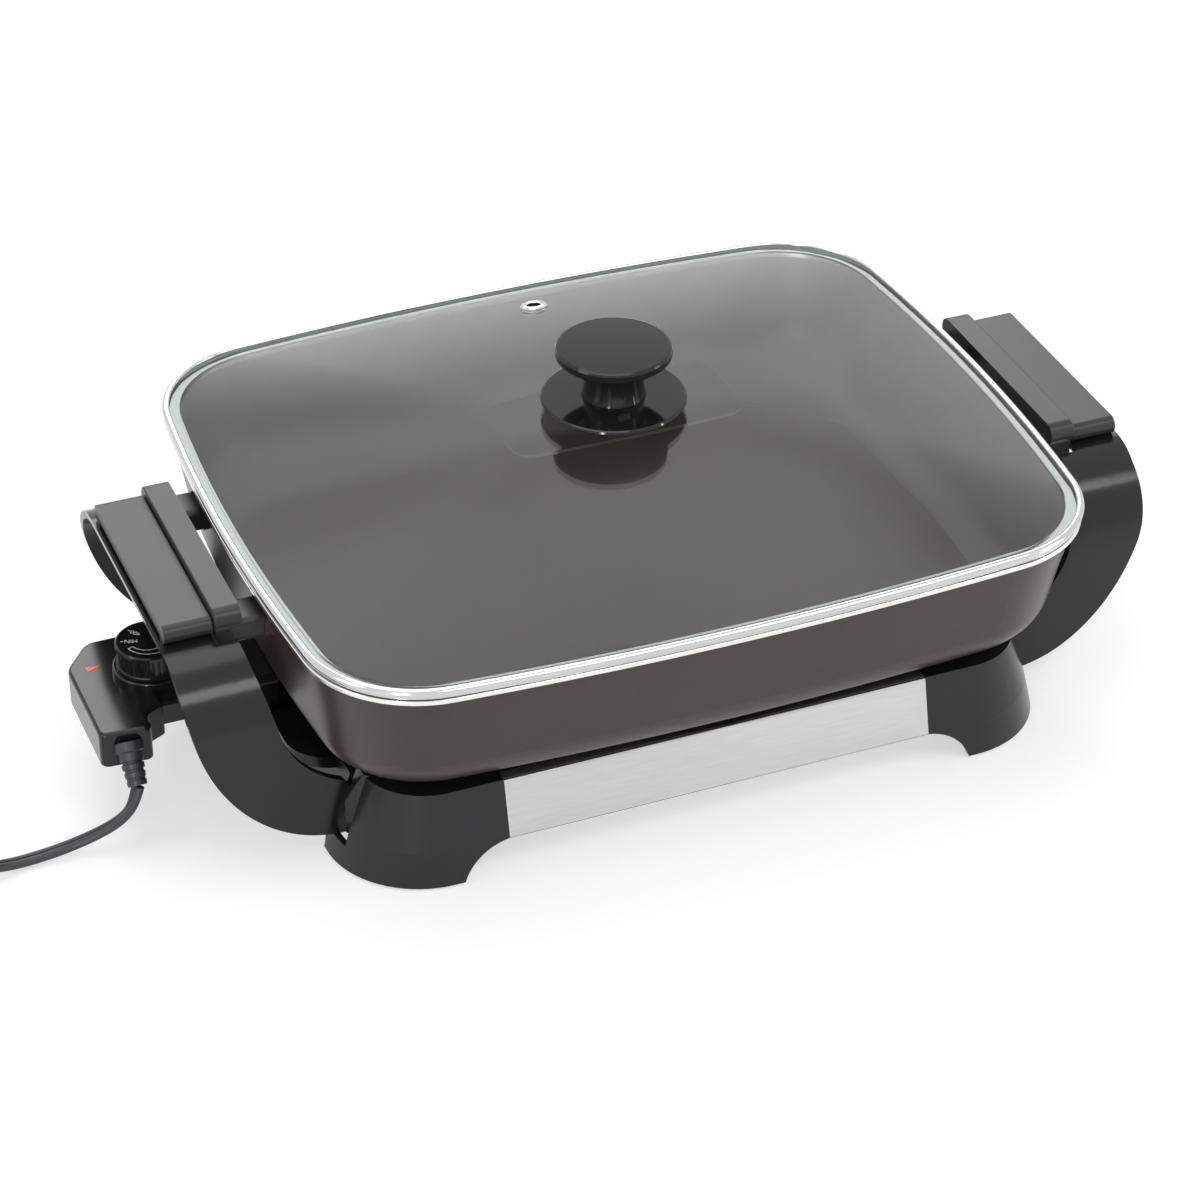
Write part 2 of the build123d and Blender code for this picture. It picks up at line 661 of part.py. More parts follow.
def grip_strip():
    """The pan's own grip on the right: a bullnose strip on two brackets."""
    with BuildPart() as strip:
        with BuildSketch(Plane.YZ.offset(strip_inner_x)):
            with Locations((0, (strip_low + strip_top) / 2)):
                SlotOverall(2 * strip_half_y, strip_top - strip_low)
        extrude(amount=strip_outer_x - strip_inner_x)
        fillet(strip.faces().sort_by(Axis.X)[-1].edges(), 0.8)
        for y in (-bracket_y, bracket_y):
            with BuildSketch(Plane.YZ.offset(lug_face_x)):
                with Locations((y, (bracket_low + bracket_high) / 2)):
                    RectangleRounded(bracket_width, bracket_high - bracket_low, 3)
            extrude(amount=strip_outer_x - 0.8 - lug_face_x)
    return strip.part


with BuildPart() as pan_handle_right:
    add(grip_strip())
with BuildPart() as pan_handle_left:
    add(mirror(pan_handle_right.part, about=Plane.YZ, mode=Mode.PRIVATE))

# screws through the strips into the lugs, heads sunk in the strips' outer faces
bracket_screws_at = [
    Location((turn * (strip_outer_x - 4), y, bracket_screw_z), (0, -90 * turn, 0))
    for turn in (-1, 1) for y in (-bracket_y, bracket_y)
]
with BuildPart() as pan_handle_screws:
    with Locations(*bracket_screws_at):
        add(screw(bracket_screw_length, 1.9, 3.8, 2.6))
for piece in (pan_handle_left, pan_handle_right, pan):
    with piece:
        with Locations(*bracket_screws_at):
            add(screw_hole(bracket_screw_length, 1.9, 4.1, 6), mode=Mode.SUBTRACT)

# ---------------------------------------------------------------- lid
groove_low = glass_edge_top - glass_thickness - 0.2
with BuildPart() as lid_rim:
    with BuildSketch(Plane.XY.offset(rim_low)):
        add(rim_outline(0))
        add(rim_outline(rim_ledge_width), mode=Mode.SUBTRACT)
    extrude(amount=groove_low - rim_low)
    with BuildSketch(Plane.XY.offset(groove_low)):
        add(rim_outline(0))
        add(rim_outline(rim_width), mode=Mode.SUBTRACT)
    extrude(amount=rim_high - groove_low)
    with BuildSketch(Plane.XY.offset(groove_low)):
        add(rim_outline(rim_skin))
        add(rim_outline(rim_width + 4), mode=Mode.SUBTRACT)
    extrude(amount=glass_edge_top + 0.2 - groove_low, mode=Mode.SUBTRACT)
    fillet(lid_rim.faces().sort_by(Axis.Z)[-1].outer_wire().edges(), 2.0)
    fillet(lid_rim.faces().sort_by(Axis.Z)[0].outer_wire().edges(), 0.8)

# inset and share of the height of the dome's sections, from the plate inside the rim to the flat
# crown, whose edge is 27.5 from the middle line; a narrower lid draws them all closer together
dome_reach = rim_half_y - 27.5
dome_sections = [(rim_width, 0.0)] + [
    (dome_reach * inset / 140.0, share)
    for inset, share in ((30.0, 0.26), (60.0, 0.565), (95.0, 0.826), (125.0, 0.957), (140.0, 1.0))
]


def dome(drop):
    """The space under the domed surface of the glass, lowered by drop."""
    with BuildPart() as space:
        for inset, share in dome_sections:
            with BuildSketch(Plane.XY.offset(glass_edge_top + dome_rise * share - drop)):
                add(rim_outline(inset))
        loft()
    return space.part


glass_crown = glass_edge_top + dome_rise
vent_tilt = math.degrees(math.atan(0.233))
vent_place = Location((vent_x, vent_y, vent_z), (-vent_tilt, 0, 0))
with BuildPart() as lid_glass:
    with BuildSketch(Plane.XY.offset(glass_edge_top - glass_thickness)):
        add(rim_outline(rim_skin + 0.4))
    extrude(amount=glass_thickness)
    add(dome(0))
    add(dome(glass_thickness), mode=Mode.SUBTRACT)
    with Locations((0, 0, glass_crown)):
        Cylinder(knob_hole_radius, 20, mode=Mode.SUBTRACT)
    with Locations(vent_place):
        Cylinder(vent_hole_radius, 20, mode=Mode.SUBTRACT)

# steel eyelet in the vent hole, rolled over on both sides of the glass
with BuildPart() as vent_grommet:
    with BuildSketch(Plane.XZ):
        with BuildLine():
            Polyline(
                (3.4, 0.9), (3.4, -5.2), (6.4, -5.2), (6.4, -4.3), (4.4, -4.1),
                (4.4, -0.1), (7.0, -0.1), (7.0, 0.4),
            )
            ThreePointArc((7.0, 0.4), (5.0, 1.5), (3.4, 0.9))
        make_face()
    revolve(axis=Axis.Z)
vent_grommet.part = vent_grommet.part.moved(vent_place)
with lid_glass:
    add(vent_grommet.part, mode=Mode.SUBTRACT)

# flat disc between the knob and the glass
with BuildPart() as knob_disc:
    with BuildSketch(Plane.XZ):
        with BuildLine():
            Polyline(
                (knob_screw_radius + 0.2, glass_crown), (14, glass_crown), (14, disc_top - disc_thickness),
                (disc_radius - 0.8, disc_top - disc_thickness), (disc_radius, disc_top - 1.6),
                (disc_radius - 0.3, disc_top - 0.7), (disc_radius - 1.2, disc_top - 0.25),
                (knob_stem_radius + 2, disc_top), (knob_screw_radius + 0.2, disc_top),
                close=True,
            )
        make_face()
    revolve(axis=Axis.Z)

knob_crown = 0.75
knob_crown_radius = ((knob_radius - 1.5) ** 2 + knob_crown ** 2) / (2 * knob_crown)
with BuildPart() as knob:
    with BuildSketch(Plane.XZ):
        with BuildLine():
            under = knob_top - 0.9 - knob_edge
            Polyline((0, disc_top), (knob_stem_radius, disc_top), (knob_stem_radius, disc_top + 0.8))
            ThreePointArc(
                (knob_stem_radius, disc_top + 0.8), (knob_stem_radius - 1.3, (disc_top + under) / 2),
                (knob_stem_radius, under - 0.8),
            )
            Polyline(
                (knob_stem_radius, under - 0.8), (knob_stem_radius + 2.4, under),
                (knob_radius - 1.2, under), (knob_radius, under + 1.2), (knob_radius, knob_top - 2.0),
                (knob_radius - 0.5, knob_top - 1.2), (knob_radius - 1.5, knob_top - knob_crown),
            )
            RadiusArc((knob_radius - 1.5, knob_top - knob_crown), (0, knob_top), -knob_crown_radius)
            Line((0, knob_top), (0, disc_top))
        make_face()
    revolve(axis=Axis.Z)
    with BuildSketch(Plane.XY.offset(disc_top)):
        Circle(insert_radius)
    extrude(amount=insert_top - disc_top, mode=Mode.SUBTRACT)

with BuildPart() as knob_insert:
    with BuildSketch(Plane.XY.offset(disc_top)):
        Circle(insert_radius)
        Circle(knob_screw_radius, mode=Mode.SUBTRACT)
    extrude(amount=insert_top - disc_top)

washer_low = glass_crown - glass_thickness - washer_thickness
with BuildPart() as knob_washer:
    with BuildSketch(Plane.XY.offset(washer_low)):
        Circle(9)
        Circle(knob_screw_radius + 0.1, mode=Mode.SUBTRACT)
    extrude(amount=washer_thickness)
    fillet(knob_washer.faces().sort_by(Axis.Z)[0].outer_wire().edges(), 0.5)
with BuildPart() as knob_screw:
    with Locations((0, 0, washer_low)):
        add(screw(insert_top - 3 - washer_low, knob_screw_radius, 4.8, 3.0))


# ---------------------------------------------------------------- temperature control
def control_body(step):
    """The control's outside; with a step, the hollow inside it."""
    with BuildPart() as head:
        with BuildSketch(Plane.XY.offset(body_low + step)):
            with BuildLine():
                FilletPolyline(
                    (dial_x - 2.5, 33), (dial_x - 23.5, 33), (dial_x - 37.5, 15), (dial_x - 37.5, -43.4),
                    (dial_x - 12.5, -45), (dial_x - 12.5, -33), (dial_x - 2.5, -28),
                    close=True, radius=[3, 10, 12, 4, 3.5, 5, 2],
                )
            make_face()
            if step:
                offset(amount=-step)
        extrude(amount=body_high - body_low - 2 * step)
        if not step:
            fillet(head.faces().sort_by(Axis.Z)[-1].edges(), 2.0)
            fillet(head.faces().sort_by(Axis.Z)[0].edges(), 1.2)
    with BuildPart() as neck:
        with BuildSketch(Plane.YZ.offset(neck_end_x - step)):
            with Locations((0, (neck_low + neck_high) / 2)):
                Rectangle(2 * (neck_half_y - step), neck_high - neck_low - 2 * step)
        extrude(amount=neck_end_x - dial_x + 12.5 - step, dir=(-1, 0, 0))
        if not step:
            fillet(neck.edges().filter_by(Axis.X), 2.0)
    return head.part + neck.part


def half_space(low, high):
    """A block round the control between two heights."""
    with BuildPart() as block:
        with BuildSketch(Plane.XY.offset(low)):
            with Locations((dial_x + 7.5, 0)):
                Rectangle(140, 140)
        extrude(amount=high - low)
    return block.part


# places of the four screws, with the height of the lower shell's face there
control_screws = [
    (dial_x - 29.5, -33, body_low), (dial_x - 23.5, 24, body_low),
    (neck_end_x - 10, -21.5, neck_low), (neck_end_x - 10, 21.5, neck_low),
]
split_plane = Plane.XY.offset(split_z)
end_openings = [(-pin_y, pin_radius + fit_gap), (pin_y, pin_radius + fit_gap), (0, probe_radius)]

with BuildPart() as control_housing:
    add(control_body(0))
    with BuildSketch(Plane.XY.offset(neck_high - 1)):
        with Locations((dial_x, 0)):
            Circle(boss_radius)
    extrude(amount=dial_seat - neck_high + 1)
    fillet(control_housing.faces().sort_by(Axis.Z)[-1].edges(), 0.8)
    add(control_body(shell_wall), mode=Mode.SUBTRACT)
    for x, y, low in control_screws:
        with BuildSketch(Plane.XY.offset(split_z - 1)):
            with Locations((x, y)):
                Circle(3.2)
        extrude(until=Until.NEXT)
    add(half_space(split_z - 30, split_z), mode=Mode.SUBTRACT)
    with Locations((dial_x, 0, body_high)):
        Cylinder(shaft_radius + snug_gap, 20, mode=Mode.SUBTRACT)

with BuildPart() as control_base:
    add(control_body(0))
    add(control_body(shell_wall), mode=Mode.SUBTRACT)
    add(half_space(split_z, split_z + 30), mode=Mode.SUBTRACT)
    for x, y, low in control_screws:
        with BuildSketch(Plane.XY.offset(low + shell_wall - 0.5)):
            with Locations((x, y)):
                Circle(3.6)
        extrude(amount=split_z - low - shell_wall + 0.5)
    # cradles under the contact sleeves and the probe's root
    with BuildSketch(Plane.XY.offset(neck_low + 1)):
        with Locations(*[(neck_end_x - 14, y) for y in (-pin_y, 0, pin_y)]):
            Rectangle(8, 7)
    extrude(amount=pin_z - neck_low - 1)

# pointer that marks the set temperature, let into the top of the housing
with BuildPart() as indicator_lens:
    with BuildSketch(Plane.XY.offset(body_high - shell_wall)):
        with BuildLine():
            Polyline((dial_x - 29.5, 12.6), (dial_x - 28.9, 8.4), (dial_x - 21.8, 11.2), close=True)
        make_face()
    extrude(amount=shell_wall + 0.15)
with control_housing:
    add(indicator_lens.part, mode=Mode.SUBTRACT)

with BuildPart() as housing_screws:
    for x, y, low in control_screws:
        with Locations((x, y, low + 2.0)):
            add(screw(9, 1.3, 2.6, 1.6))
for piece in (control_housing, control_base):
    with piece:
        for x, y, low in control_screws:
            with Locations((x, y, low + 2.0)):
                add(screw_hole(9, 1.3, 2.7, 4), mode=Mode.SUBTRACT)
        for y, radius in end_openings:
            with BuildSketch(Plane.YZ.offset(neck_end_x - shell_wall - 1)):
                with Locations((y, pin_z)):
                    Circle(radius)
            extrude(amount=shell_wall + 2, mode=Mode.SUBTRACT)

with BuildPart() as probe_tube:
    with BuildSketch(Plane.YZ.offset(neck_end_x - 20)):
        with Locations((0, pin_z)):
            Circle(probe_radius)
    extrude(amount=probe_tip_x - neck_end_x + 20)
    fillet(probe_tube.faces().sort_by(Axis.X)[-1].edges(), 2.0)

sleeve_end_x = guard_mouth_x
with BuildPart() as contact_sleeves:
    with BuildSketch(Plane.YZ.offset(sleeve_end_x)):
        with Locations((-pin_y, pin_z), (pin_y, pin_z)):
            Circle(pin_radius + fit_gap + 0.8)
            Circle(pin_radius + fit_gap, mode=Mode.SUBTRACT)
    extrude(amount=neck_end_x - shell_wall - sleeve_end_x)
with control_base:
    for y, radius in ((-pin_y, pin_radius + fit_gap + 0.8), (pin_y, pin_radius + fit_gap + 0.8), (0, probe_radius)):
        with BuildSketch(Plane.YZ.offset(neck_end_x - 19)):
            with Locations((y, pin_z)):
                Circle(radius)
        extrude(amount=10, mode=Mode.SUBTRACT)

block_half_x, block_half_y, block_top = 9.0, 18.0, body_high - 5.0
with BuildPart() as thermostat_block:
    with BuildSketch(Plane.XY.offset(neck_low + shell_wall)):
        with Locations((dial_x + 3, 0)):
            RectangleRounded(2 * block_half_x, 2 * block_half_y, 1.5)
    extrude(amount=block_top - neck_low - shell_wall)
    with Locations((dial_x, 0, block_top)):
        Cylinder(shaft_radius + snug_gap, 9, mode=Mode.SUBTRACT)

with BuildPart() as switch_blades:
    blade_start = dial_x + 3 + block_half_x
    with BuildSketch(Plane.YZ.offset(blade_start)):
        with Locations((-pin_y, pin_z), (pin_y, pin_z)):
            Rectangle(6.4, 0.8)
    extrude(amount=sleeve_end_x - blade_start)

# ribbed boot where the cord leaves the control
relief_dir = (0, -math.cos(math.radians(relief_drop)), -math.sin(math.radians(relief_drop)))
relief_place = Plane(origin=(leg_x, leg_y, relief_z), x_dir=(1, 0, 0), z_dir=relief_dir)
with BuildPart() as strain_relief:
    with BuildSketch(Plane.XZ):
        with BuildLine():
            Polyline(
                (0, -3), (7, -3), (7, 1.5), (5.9, 2.2), (5.7, 6), (4.7, 6.3), (4.7, 7.3), (5.5, 7.6),
                (5.3, 10), (4.5, 10.3), (4.5, 11.3), (5.1, 11.6), (4.9, 14), (4.4, 14.3), (4.4, 15.3),
                (4.8, 15.6), (4.6, relief_length), (0, relief_length), close=True,
            )
        make_face()
    revolve(axis=Axis.Z)
strain_relief.part = strain_relief.part.moved(relief_place.location)
for piece in (control_housing, control_base):
    with piece:
        add(strain_relief.part, mode=Mode.SUBTRACT)

# ---------------------------------------------------------------- dial
with BuildPart() as dial:
    with BuildSketch(Plane.XZ):
        with BuildLine():
            Polyline(
                (0, dial_low), (dial_radius, dial_low), (dial_radius, dial_low + 1.2),
                (dial_radius - 0.7, dial_low + 1.6), (dial_radius - 0.7, dial_top - 3.0),
                (dial_radius, dial_top - 2.6), (dial_radius, dial_top - 0.8),
                (dial_radius - 0.8, dial_top), (dial_radius - 1.8, dial_top),
                (dial_radius - 2.2, dial_top - 0.4), (0, dial_top - 0.4), close=True,
            )
        make_face()
    revolve(axis=Axis.Z)
    with BuildSketch(Plane.XY.offset(dial_low + 1.6)):
        with PolarLocations(dial_radius - 0.6, groove_count):
            Circle(groove_radius)
    extrude(amount=dial_top - 3.0 - dial_low - 1.6, mode=Mode.SUBTRACT)
    with BuildSketch(Plane.XY.offset(dial_low)):
        Circle(shaft_radius)
    extrude(amount=shaft_socket, mode=Mode.SUBTRACT)
dial.part = dial.part.moved(Location((dial_x, 0, 0)))
with BuildPart() as dial_shaft:
    with BuildSketch(Plane.XY.offset(block_top - 4)):
        with Locations((dial_x, 0)):
            Circle(shaft_radius)
    extrude(amount=dial_low + shaft_socket - block_top + 4)

# ---------------------------------------------------------------- cord and plug
relief_tip = Vector(leg_x, leg_y, relief_z) + Vector(*relief_dir) * relief_length
cord_rest = cord_radius + 0.1
over_coil = coil_high + cord_radius + 0.2
lead_y = coil_y + (coil_inner + cord_radius + 0.2)
cord_route = [
    relief_tip,
    Vector(-265, -57.2, 26.5),
    Vector(-272.5, -54.5, 17),
    Vector(-285.5, -50.5, 9),
    Vector(-302, -48, 4.4),
    Vector(-326, -49.5, cord_rest),
    Vector(-346, lead_y, over_coil + 0.5),
    Vector(coil_x + 18, lead_y, over_coil),
]


def bend_radii(route):
    """A bend radius for each corner of a route, from its shorter run and its turn."""
    radii = []
    for before, corner, after in zip(route, route[1:], route[2:]):
        turn = math.radians((corner - before).get_angle(after - corner))
        shorter = min((corner - before).length, (after - corner).length)
        radii.append(0.45 * shorter / math.tan(turn / 2))
    return radii


print("cord bend radii", [round(r) for r in bend_radii(cord_route)])
with BuildPart() as cord:
    with BuildLine() as route_line:
        FilletPolyline(*cord_route, radius=bend_radii(cord_route))
    with BuildSketch(Plane(origin=relief_tip, z_dir=cord_route[1] - relief_tip)):
        Circle(cord_radius)
    sweep()
    route_length = sum(edge.length for edge in route_line.edges())
    print("cord section x length", round(math.pi * cord_radius ** 2 * route_length))
    print("cord volume", round(cord.part.volume))
    # the far end, from the coil to the plug
    tail_x = coil_x - coil_outer + cord_radius + 0.2
    with BuildSketch(Plane(origin=(tail_x, tail_end_y, plug_z), x_dir=(1, 0, 0), z_dir=(0, 1, 0))):
        Circle(cord_radius)
    with BuildSketch(Plane(origin=(tail_x, coil_y - 17, coil_mid_z), x_dir=(1, 0, 0), z_dir=(0, 1, 0))):
        Circle(cord_radius)
    loft()

# the tied turns of the cord, as one ring, with the place where the lead drops into it
with BuildPart() as cord_coil:
    with BuildSketch(Plane.XY.offset(coil_low)):
        with Locations((coil_x, coil_y)):
            Circle(coil_outer)
            Circle(coil_inner, mode=Mode.SUBTRACT)
    extrude(amount=coil_high - coil_low)
    fillet(cord_coil.edges().filter_by(GeomType.CIRCLE), 3.0)
    with BuildSketch(Plane.XZ.offset(-lead_y - cord_radius)):
        with BuildLine():
            Polyline(
                (coil_x + 18, coil_high - 1), (coil_x + 18, over_coil + cord_radius),
                (coil_x + 8, over_coil + cord_radius - 1.5), (coil_x - 4, coil_high - 1), close=True,
            )
        make_face()
    extrude(amount=2 * cord_radius)
with BuildPart() as coil_tie:
    with BuildSketch(Plane.XZ):
        with BuildLine():
            Polyline(
                (coil_inner - 0.9, coil_low - 0.9), (coil_outer + 0.9, coil_low - 0.9),
                (coil_outer + 0.9, coil_high + 0.9), (coil_inner - 0.9, coil_high + 0.9), close=True,
            )
        make_face()
    revolve(axis=Axis.Z, revolution_arc=14)
coil_tie.part = coil_tie.part.moved(Location((coil_x, coil_y, 0), (0, 0, 263)))
with coil_tie:
    with BuildSketch(Plane.XY.offset(coil_low - snug_gap)):
        with Locations((coil_x, coil_y)):
            Circle(coil_outer + snug_gap)
            Circle(coil_inner - snug_gap, mode=Mode.SUBTRACT)
    extrude(amount=coil_high - coil_low + 2 * snug_gap, mode=Mode.SUBTRACT)

plug_back_y = tail_end_y - plug_boot_length
plug_front_y = plug_back_y - plug_length
with BuildPart() as plug_body:
    for y, width, height in (
        (plug_back_y, plug_width * 0.72, plug_height * 0.8),
        (plug_back_y - 8, plug_width, plug_height),
        (plug_front_y, plug_width * 0.92, plug_height),
    ):
        with BuildSketch(Plane(origin=(tail_x, y, plug_z), x_dir=(1, 0, 0), z_dir=(0, -1, 0))):
            RectangleRounded(width, height, 5)
    loft()
    with BuildSketch(Plane(origin=(tail_x, plug_back_y - 1, plug_z), x_dir=(1, 0, 0), z_dir=(0, 1, 0))):
        Circle(5.8)
    with BuildSketch(Plane(origin=(tail_x, tail_end_y, plug_z), x_dir=(1, 0, 0), z_dir=(0, 1, 0))):
        Circle(4.4)
    loft()
with BuildPart() as plug_prongs:
    with BuildSketch(Plane.YZ.offset(tail_x - prong_pitch / 2 - prong_thickness / 2)):
        with Locations((plug_front_y - (prong_length - prong_root) / 2, plug_z)):
            Rectangle(prong_length + prong_root, prong_width)
        with Locations((plug_front_y - prong_length + 3.5, plug_z)):
            Circle(1.6, mode=Mode.SUBTRACT)
    extrude(amount=prong_thickness)
    add(plug_prongs.part.moved(Location((prong_pitch, 0, 0))))
with plug_body:
    add(plug_prongs.part, mode=Mode.SUBTRACT)

for name, piece in (
    ("front_panel", front_panel), ("rear_panel", rear_panel),
    ("handle_left", handle_left), ("handle_right", handle_right),
    ("grip_left", grip_left), ("grip_right", grip_right), ("base_frame", base_frame),
    ("handle_screws", handle_screws), ("grip_screws", grip_screws), ("rubber_feet", rubber_feet),
    ("heat_shield", heat_shield), ("shield_screws", shield_screws), ("pan", pan),
    ("heating_element", heating_element), ("terminal_pins", terminal_pins),
    ("terminal_insulators", terminal_insulators), ("terminal_guard", terminal_guard),
    ("guard_screws", guard_screws), ("pan_handle_left", pan_handle_left),
    ("pan_handle_right", pan_handle_right), ("pan_handle_screws", pan_handle_screws),
    ("lid_rim", lid_rim), ("lid_glass", lid_glass), ("vent_grommet", vent_grommet),
    ("knob_disc", knob_disc), ("knob", knob), ("knob_insert", knob_insert),
    ("knob_washer", knob_washer), ("knob_screw", knob_screw),
    ("control_housing", control_housing), ("control_base", control_base),
    ("indicator_lens", indicator_lens), ("housing_screws", housing_screws),
    ("probe_tube", probe_tube), ("contact_sleeves", contact_sleeves),
    ("thermostat_block", thermostat_block), ("switch_blades", switch_blades),
    ("strain_relief", strain_relief), ("dial", dial), ("dial_shaft", dial_shaft),
    ("cord", cord), ("cord_coil", cord_coil), ("coil_tie", coil_tie),
    ("plug_body", plug_body), ("plug_prongs", plug_prongs),
):
    print(name, "volume", round(piece.part.volume), "solids", len(piece.part.solids()))
    piece.part.label = name
    export_step(piece.part, f"parts/{name}.step")
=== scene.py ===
# %% [markdown]
# # An electric skillet, finished in Blender
# The solids of the skillet are ready made, at their real size, in metres.  This file gives
# each of them the finish that it has on a real one, lays out the mains cord, rolls the lid's
# rim, draws the dial's marks and sets up the light and the camera.  X runs along the long
# side, Y to the back and Z up, from a point under the middle of the base.

# %% Load the solids
import math

import bmesh
import bpy
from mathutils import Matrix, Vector


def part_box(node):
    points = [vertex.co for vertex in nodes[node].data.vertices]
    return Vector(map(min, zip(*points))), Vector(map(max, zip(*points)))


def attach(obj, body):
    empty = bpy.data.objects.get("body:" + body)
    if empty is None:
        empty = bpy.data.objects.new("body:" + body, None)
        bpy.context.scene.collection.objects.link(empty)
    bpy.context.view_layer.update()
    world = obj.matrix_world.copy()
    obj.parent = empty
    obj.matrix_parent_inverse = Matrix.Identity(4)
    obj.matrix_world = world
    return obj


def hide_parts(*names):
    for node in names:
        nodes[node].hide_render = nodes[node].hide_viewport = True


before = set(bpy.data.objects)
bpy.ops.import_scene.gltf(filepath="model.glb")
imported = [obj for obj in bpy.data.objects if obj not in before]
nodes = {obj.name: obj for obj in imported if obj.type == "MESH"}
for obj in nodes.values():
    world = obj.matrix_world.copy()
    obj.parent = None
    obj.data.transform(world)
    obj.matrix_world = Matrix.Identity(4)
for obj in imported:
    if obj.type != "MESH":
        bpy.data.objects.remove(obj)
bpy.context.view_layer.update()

scene = bpy.context.scene


def add(name, data):
    """Puts a new object that shows this data into the scene."""
    made = bpy.data.objects.new(name, data)
    scene.collection.objects.link(made)
    return made


# %% [markdown]
# ## Camera
# A skillet is shown from the front, a little from the left and from above, so that the lid,
# the front panel and the control are all in view.  A camera near by would make the front
# swell, so this one stands nearly two metres off with a long lens and looks down 34 degrees.

# %% Place the camera
camera_place = (-0.5778, -1.41285, 1.08606)
sight_line = Vector((0.30880, 0.76452, -0.56582))

camera_data = bpy.data.cameras.new("camera")
camera_data.lens = 111.24
camera_data.sensor_width = 36.0
camera_data.clip_start = 0.05
camera = add("camera", camera_data)
camera.location = camera_place
camera.rotation_mode = "QUATERNION"
camera.rotation_quaternion = sight_line.to_track_quat("-Z", "Y")
scene.camera = camera
print("camera looks down", round(math.degrees(math.asin(-sight_line.z)), 1), "degrees")

# %% [markdown]
# ## Mains cord
# A twin flex of 7 mm leaves the control through a ribbed boot, drops to the table and runs
# off to the left, where the spare length lies in a neat round coil with a tie round it.  It
# could be a tube made of straight runs and bends, but a real flex has no such joints, so one
# NURBS curve holds the whole cord and its control points are the route.  The lead crosses
# over the turns in a low hump, because it goes into the coil from the inside.

# %% Route of the cord
coil_centre = Vector((-0.396, -0.088, 0.0))
turns, turn_pitch, points_per_turn = 2.25, 0.007, 16
first_radius, lying_height = 0.032, 0.0045
entry_rise, entry_points = 0.0075, 4
lead = [
    (-0.2620, -0.0555, 0.0362),
    (-0.2650, -0.0572, 0.0265),
    (-0.2725, -0.0545, 0.0170),
    (-0.2855, -0.0505, 0.0090),
    (-0.3020, -0.0480, 0.0036),
    (-0.3250, -0.0495, 0.0030),
    (-0.3460, -0.0560, 0.0118),
    (-0.3580, -0.0560, 0.0130),
    (-0.3830, -0.0560, 0.0130),
]
tail = [
    (-0.4442, -0.1020, 0.0046),
    (-0.4438, -0.1120, 0.0062),
    (-0.4437, -0.1220, 0.0072),
]


def coil_points():
    """Control points of the turns, a little outside the line that the cord follows."""
    outside = 1 / math.cos(math.pi / points_per_turn)
    count = round(turns * points_per_turn)
    found = []
    for step in range(count + 1):
        angle = math.pi / 2 + 2 * math.pi * step / points_per_turn
        radius = (first_radius + turn_pitch * step / points_per_turn) * outside
        height = lying_height + entry_rise * max(0.0, 1 - step / entry_points) ** 1.5
        across = Vector((radius * math.cos(angle), radius * math.sin(angle), height))
        found.append(coil_centre + across)
    return found


route = [Vector(p) for p in lead] + coil_points() + [Vector(p) for p in tail]
print("route points:", len(route))

# %% [markdown]
# The points become one open spline.  Its order is set after its points are added, because
# before that Blender has no points to spread it over and keeps it at straight runs.  The
# radius of each point is a scale for the section, which comes next.

# %% Lay the cord along its route
section_scale = 100
cord_curve = bpy.data.curves.new("mains_cord", "CURVE")
cord_curve.dimensions = "3D"
spline = cord_curve.splines.new("NURBS")
spline.points.add(len(route) - 1)
for point, place in zip(spline.points, route):
    point.co = (*place, 1.0)
    point.radius = 1 / section_scale
spline.order_u = 3
spline.use_endpoint_u = True
spline.resolution_u = 6
mains_cord = add("mains_cord", cord_curve)
print("cord curve:", len(spline.points), "points of order", spline.order_u)

# %% [markdown]
# A twin flex is two round leads side by side, so its section is an 8 lying down.  The section
# is a curve that Blender sweeps along the route, and the twist mode keeps it level.  Blender
# pads a curve's box by its points' radius, which at 1 would be a metre, so the section is
# drawn a hundred times too large and the points' small radius brings it back to size.

# %% Section of the cord
lobe_radius, lobe_offset, lobe_steps = 0.21, 0.14, 14
meet = math.acos(lobe_offset / lobe_radius)
section_points = []
for side in (1, -1):
    for step in range(lobe_steps + 1):
        angle = -math.pi + meet + (2 * math.pi - 2 * meet) * step / lobe_steps
        across = side * (lobe_offset + lobe_radius * math.cos(angle))
        section_points.append((across, side * lobe_radius * math.sin(angle)))
section_curve = bpy.data.curves.new("cord_section", "CURVE")
section_curve.dimensions = "2D"
section_spline = section_curve.splines.new("POLY")
section_spline.points.add(len(section_points) - 1)
for point, (across, up) in zip(section_spline.points, section_points):
    point.co = (across, up, 0.0, 1.0)
section_spline.use_cyclic_u = True
cord_section = add("cord_section", section_curve)
cord_section.hide_render = True
cord_section.hide_viewport = True
cord_curve.bevel_mode = "OBJECT"
cord_curve.bevel_object = cord_section
cord_curve.use_fill_caps = True
cord_curve.twist_mode = "Z_UP"
full_width = 2 * (lobe_offset + lobe_radius) / section_scale
print("section:", round(1000 * full_width, 1), "mm wide")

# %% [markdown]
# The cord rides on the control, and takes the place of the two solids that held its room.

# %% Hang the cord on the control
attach(mains_cord, "control")
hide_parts("cord", "cord_coil")

# %% [markdown]
# ## A small language for finishes
# A finish is a network of shader nodes.  Written one node at a time it is hard to read, so a
# small class stands for the output of a node and understands plus, minus, times, over and
# power.  Each sum adds the Math nodes that it needs.

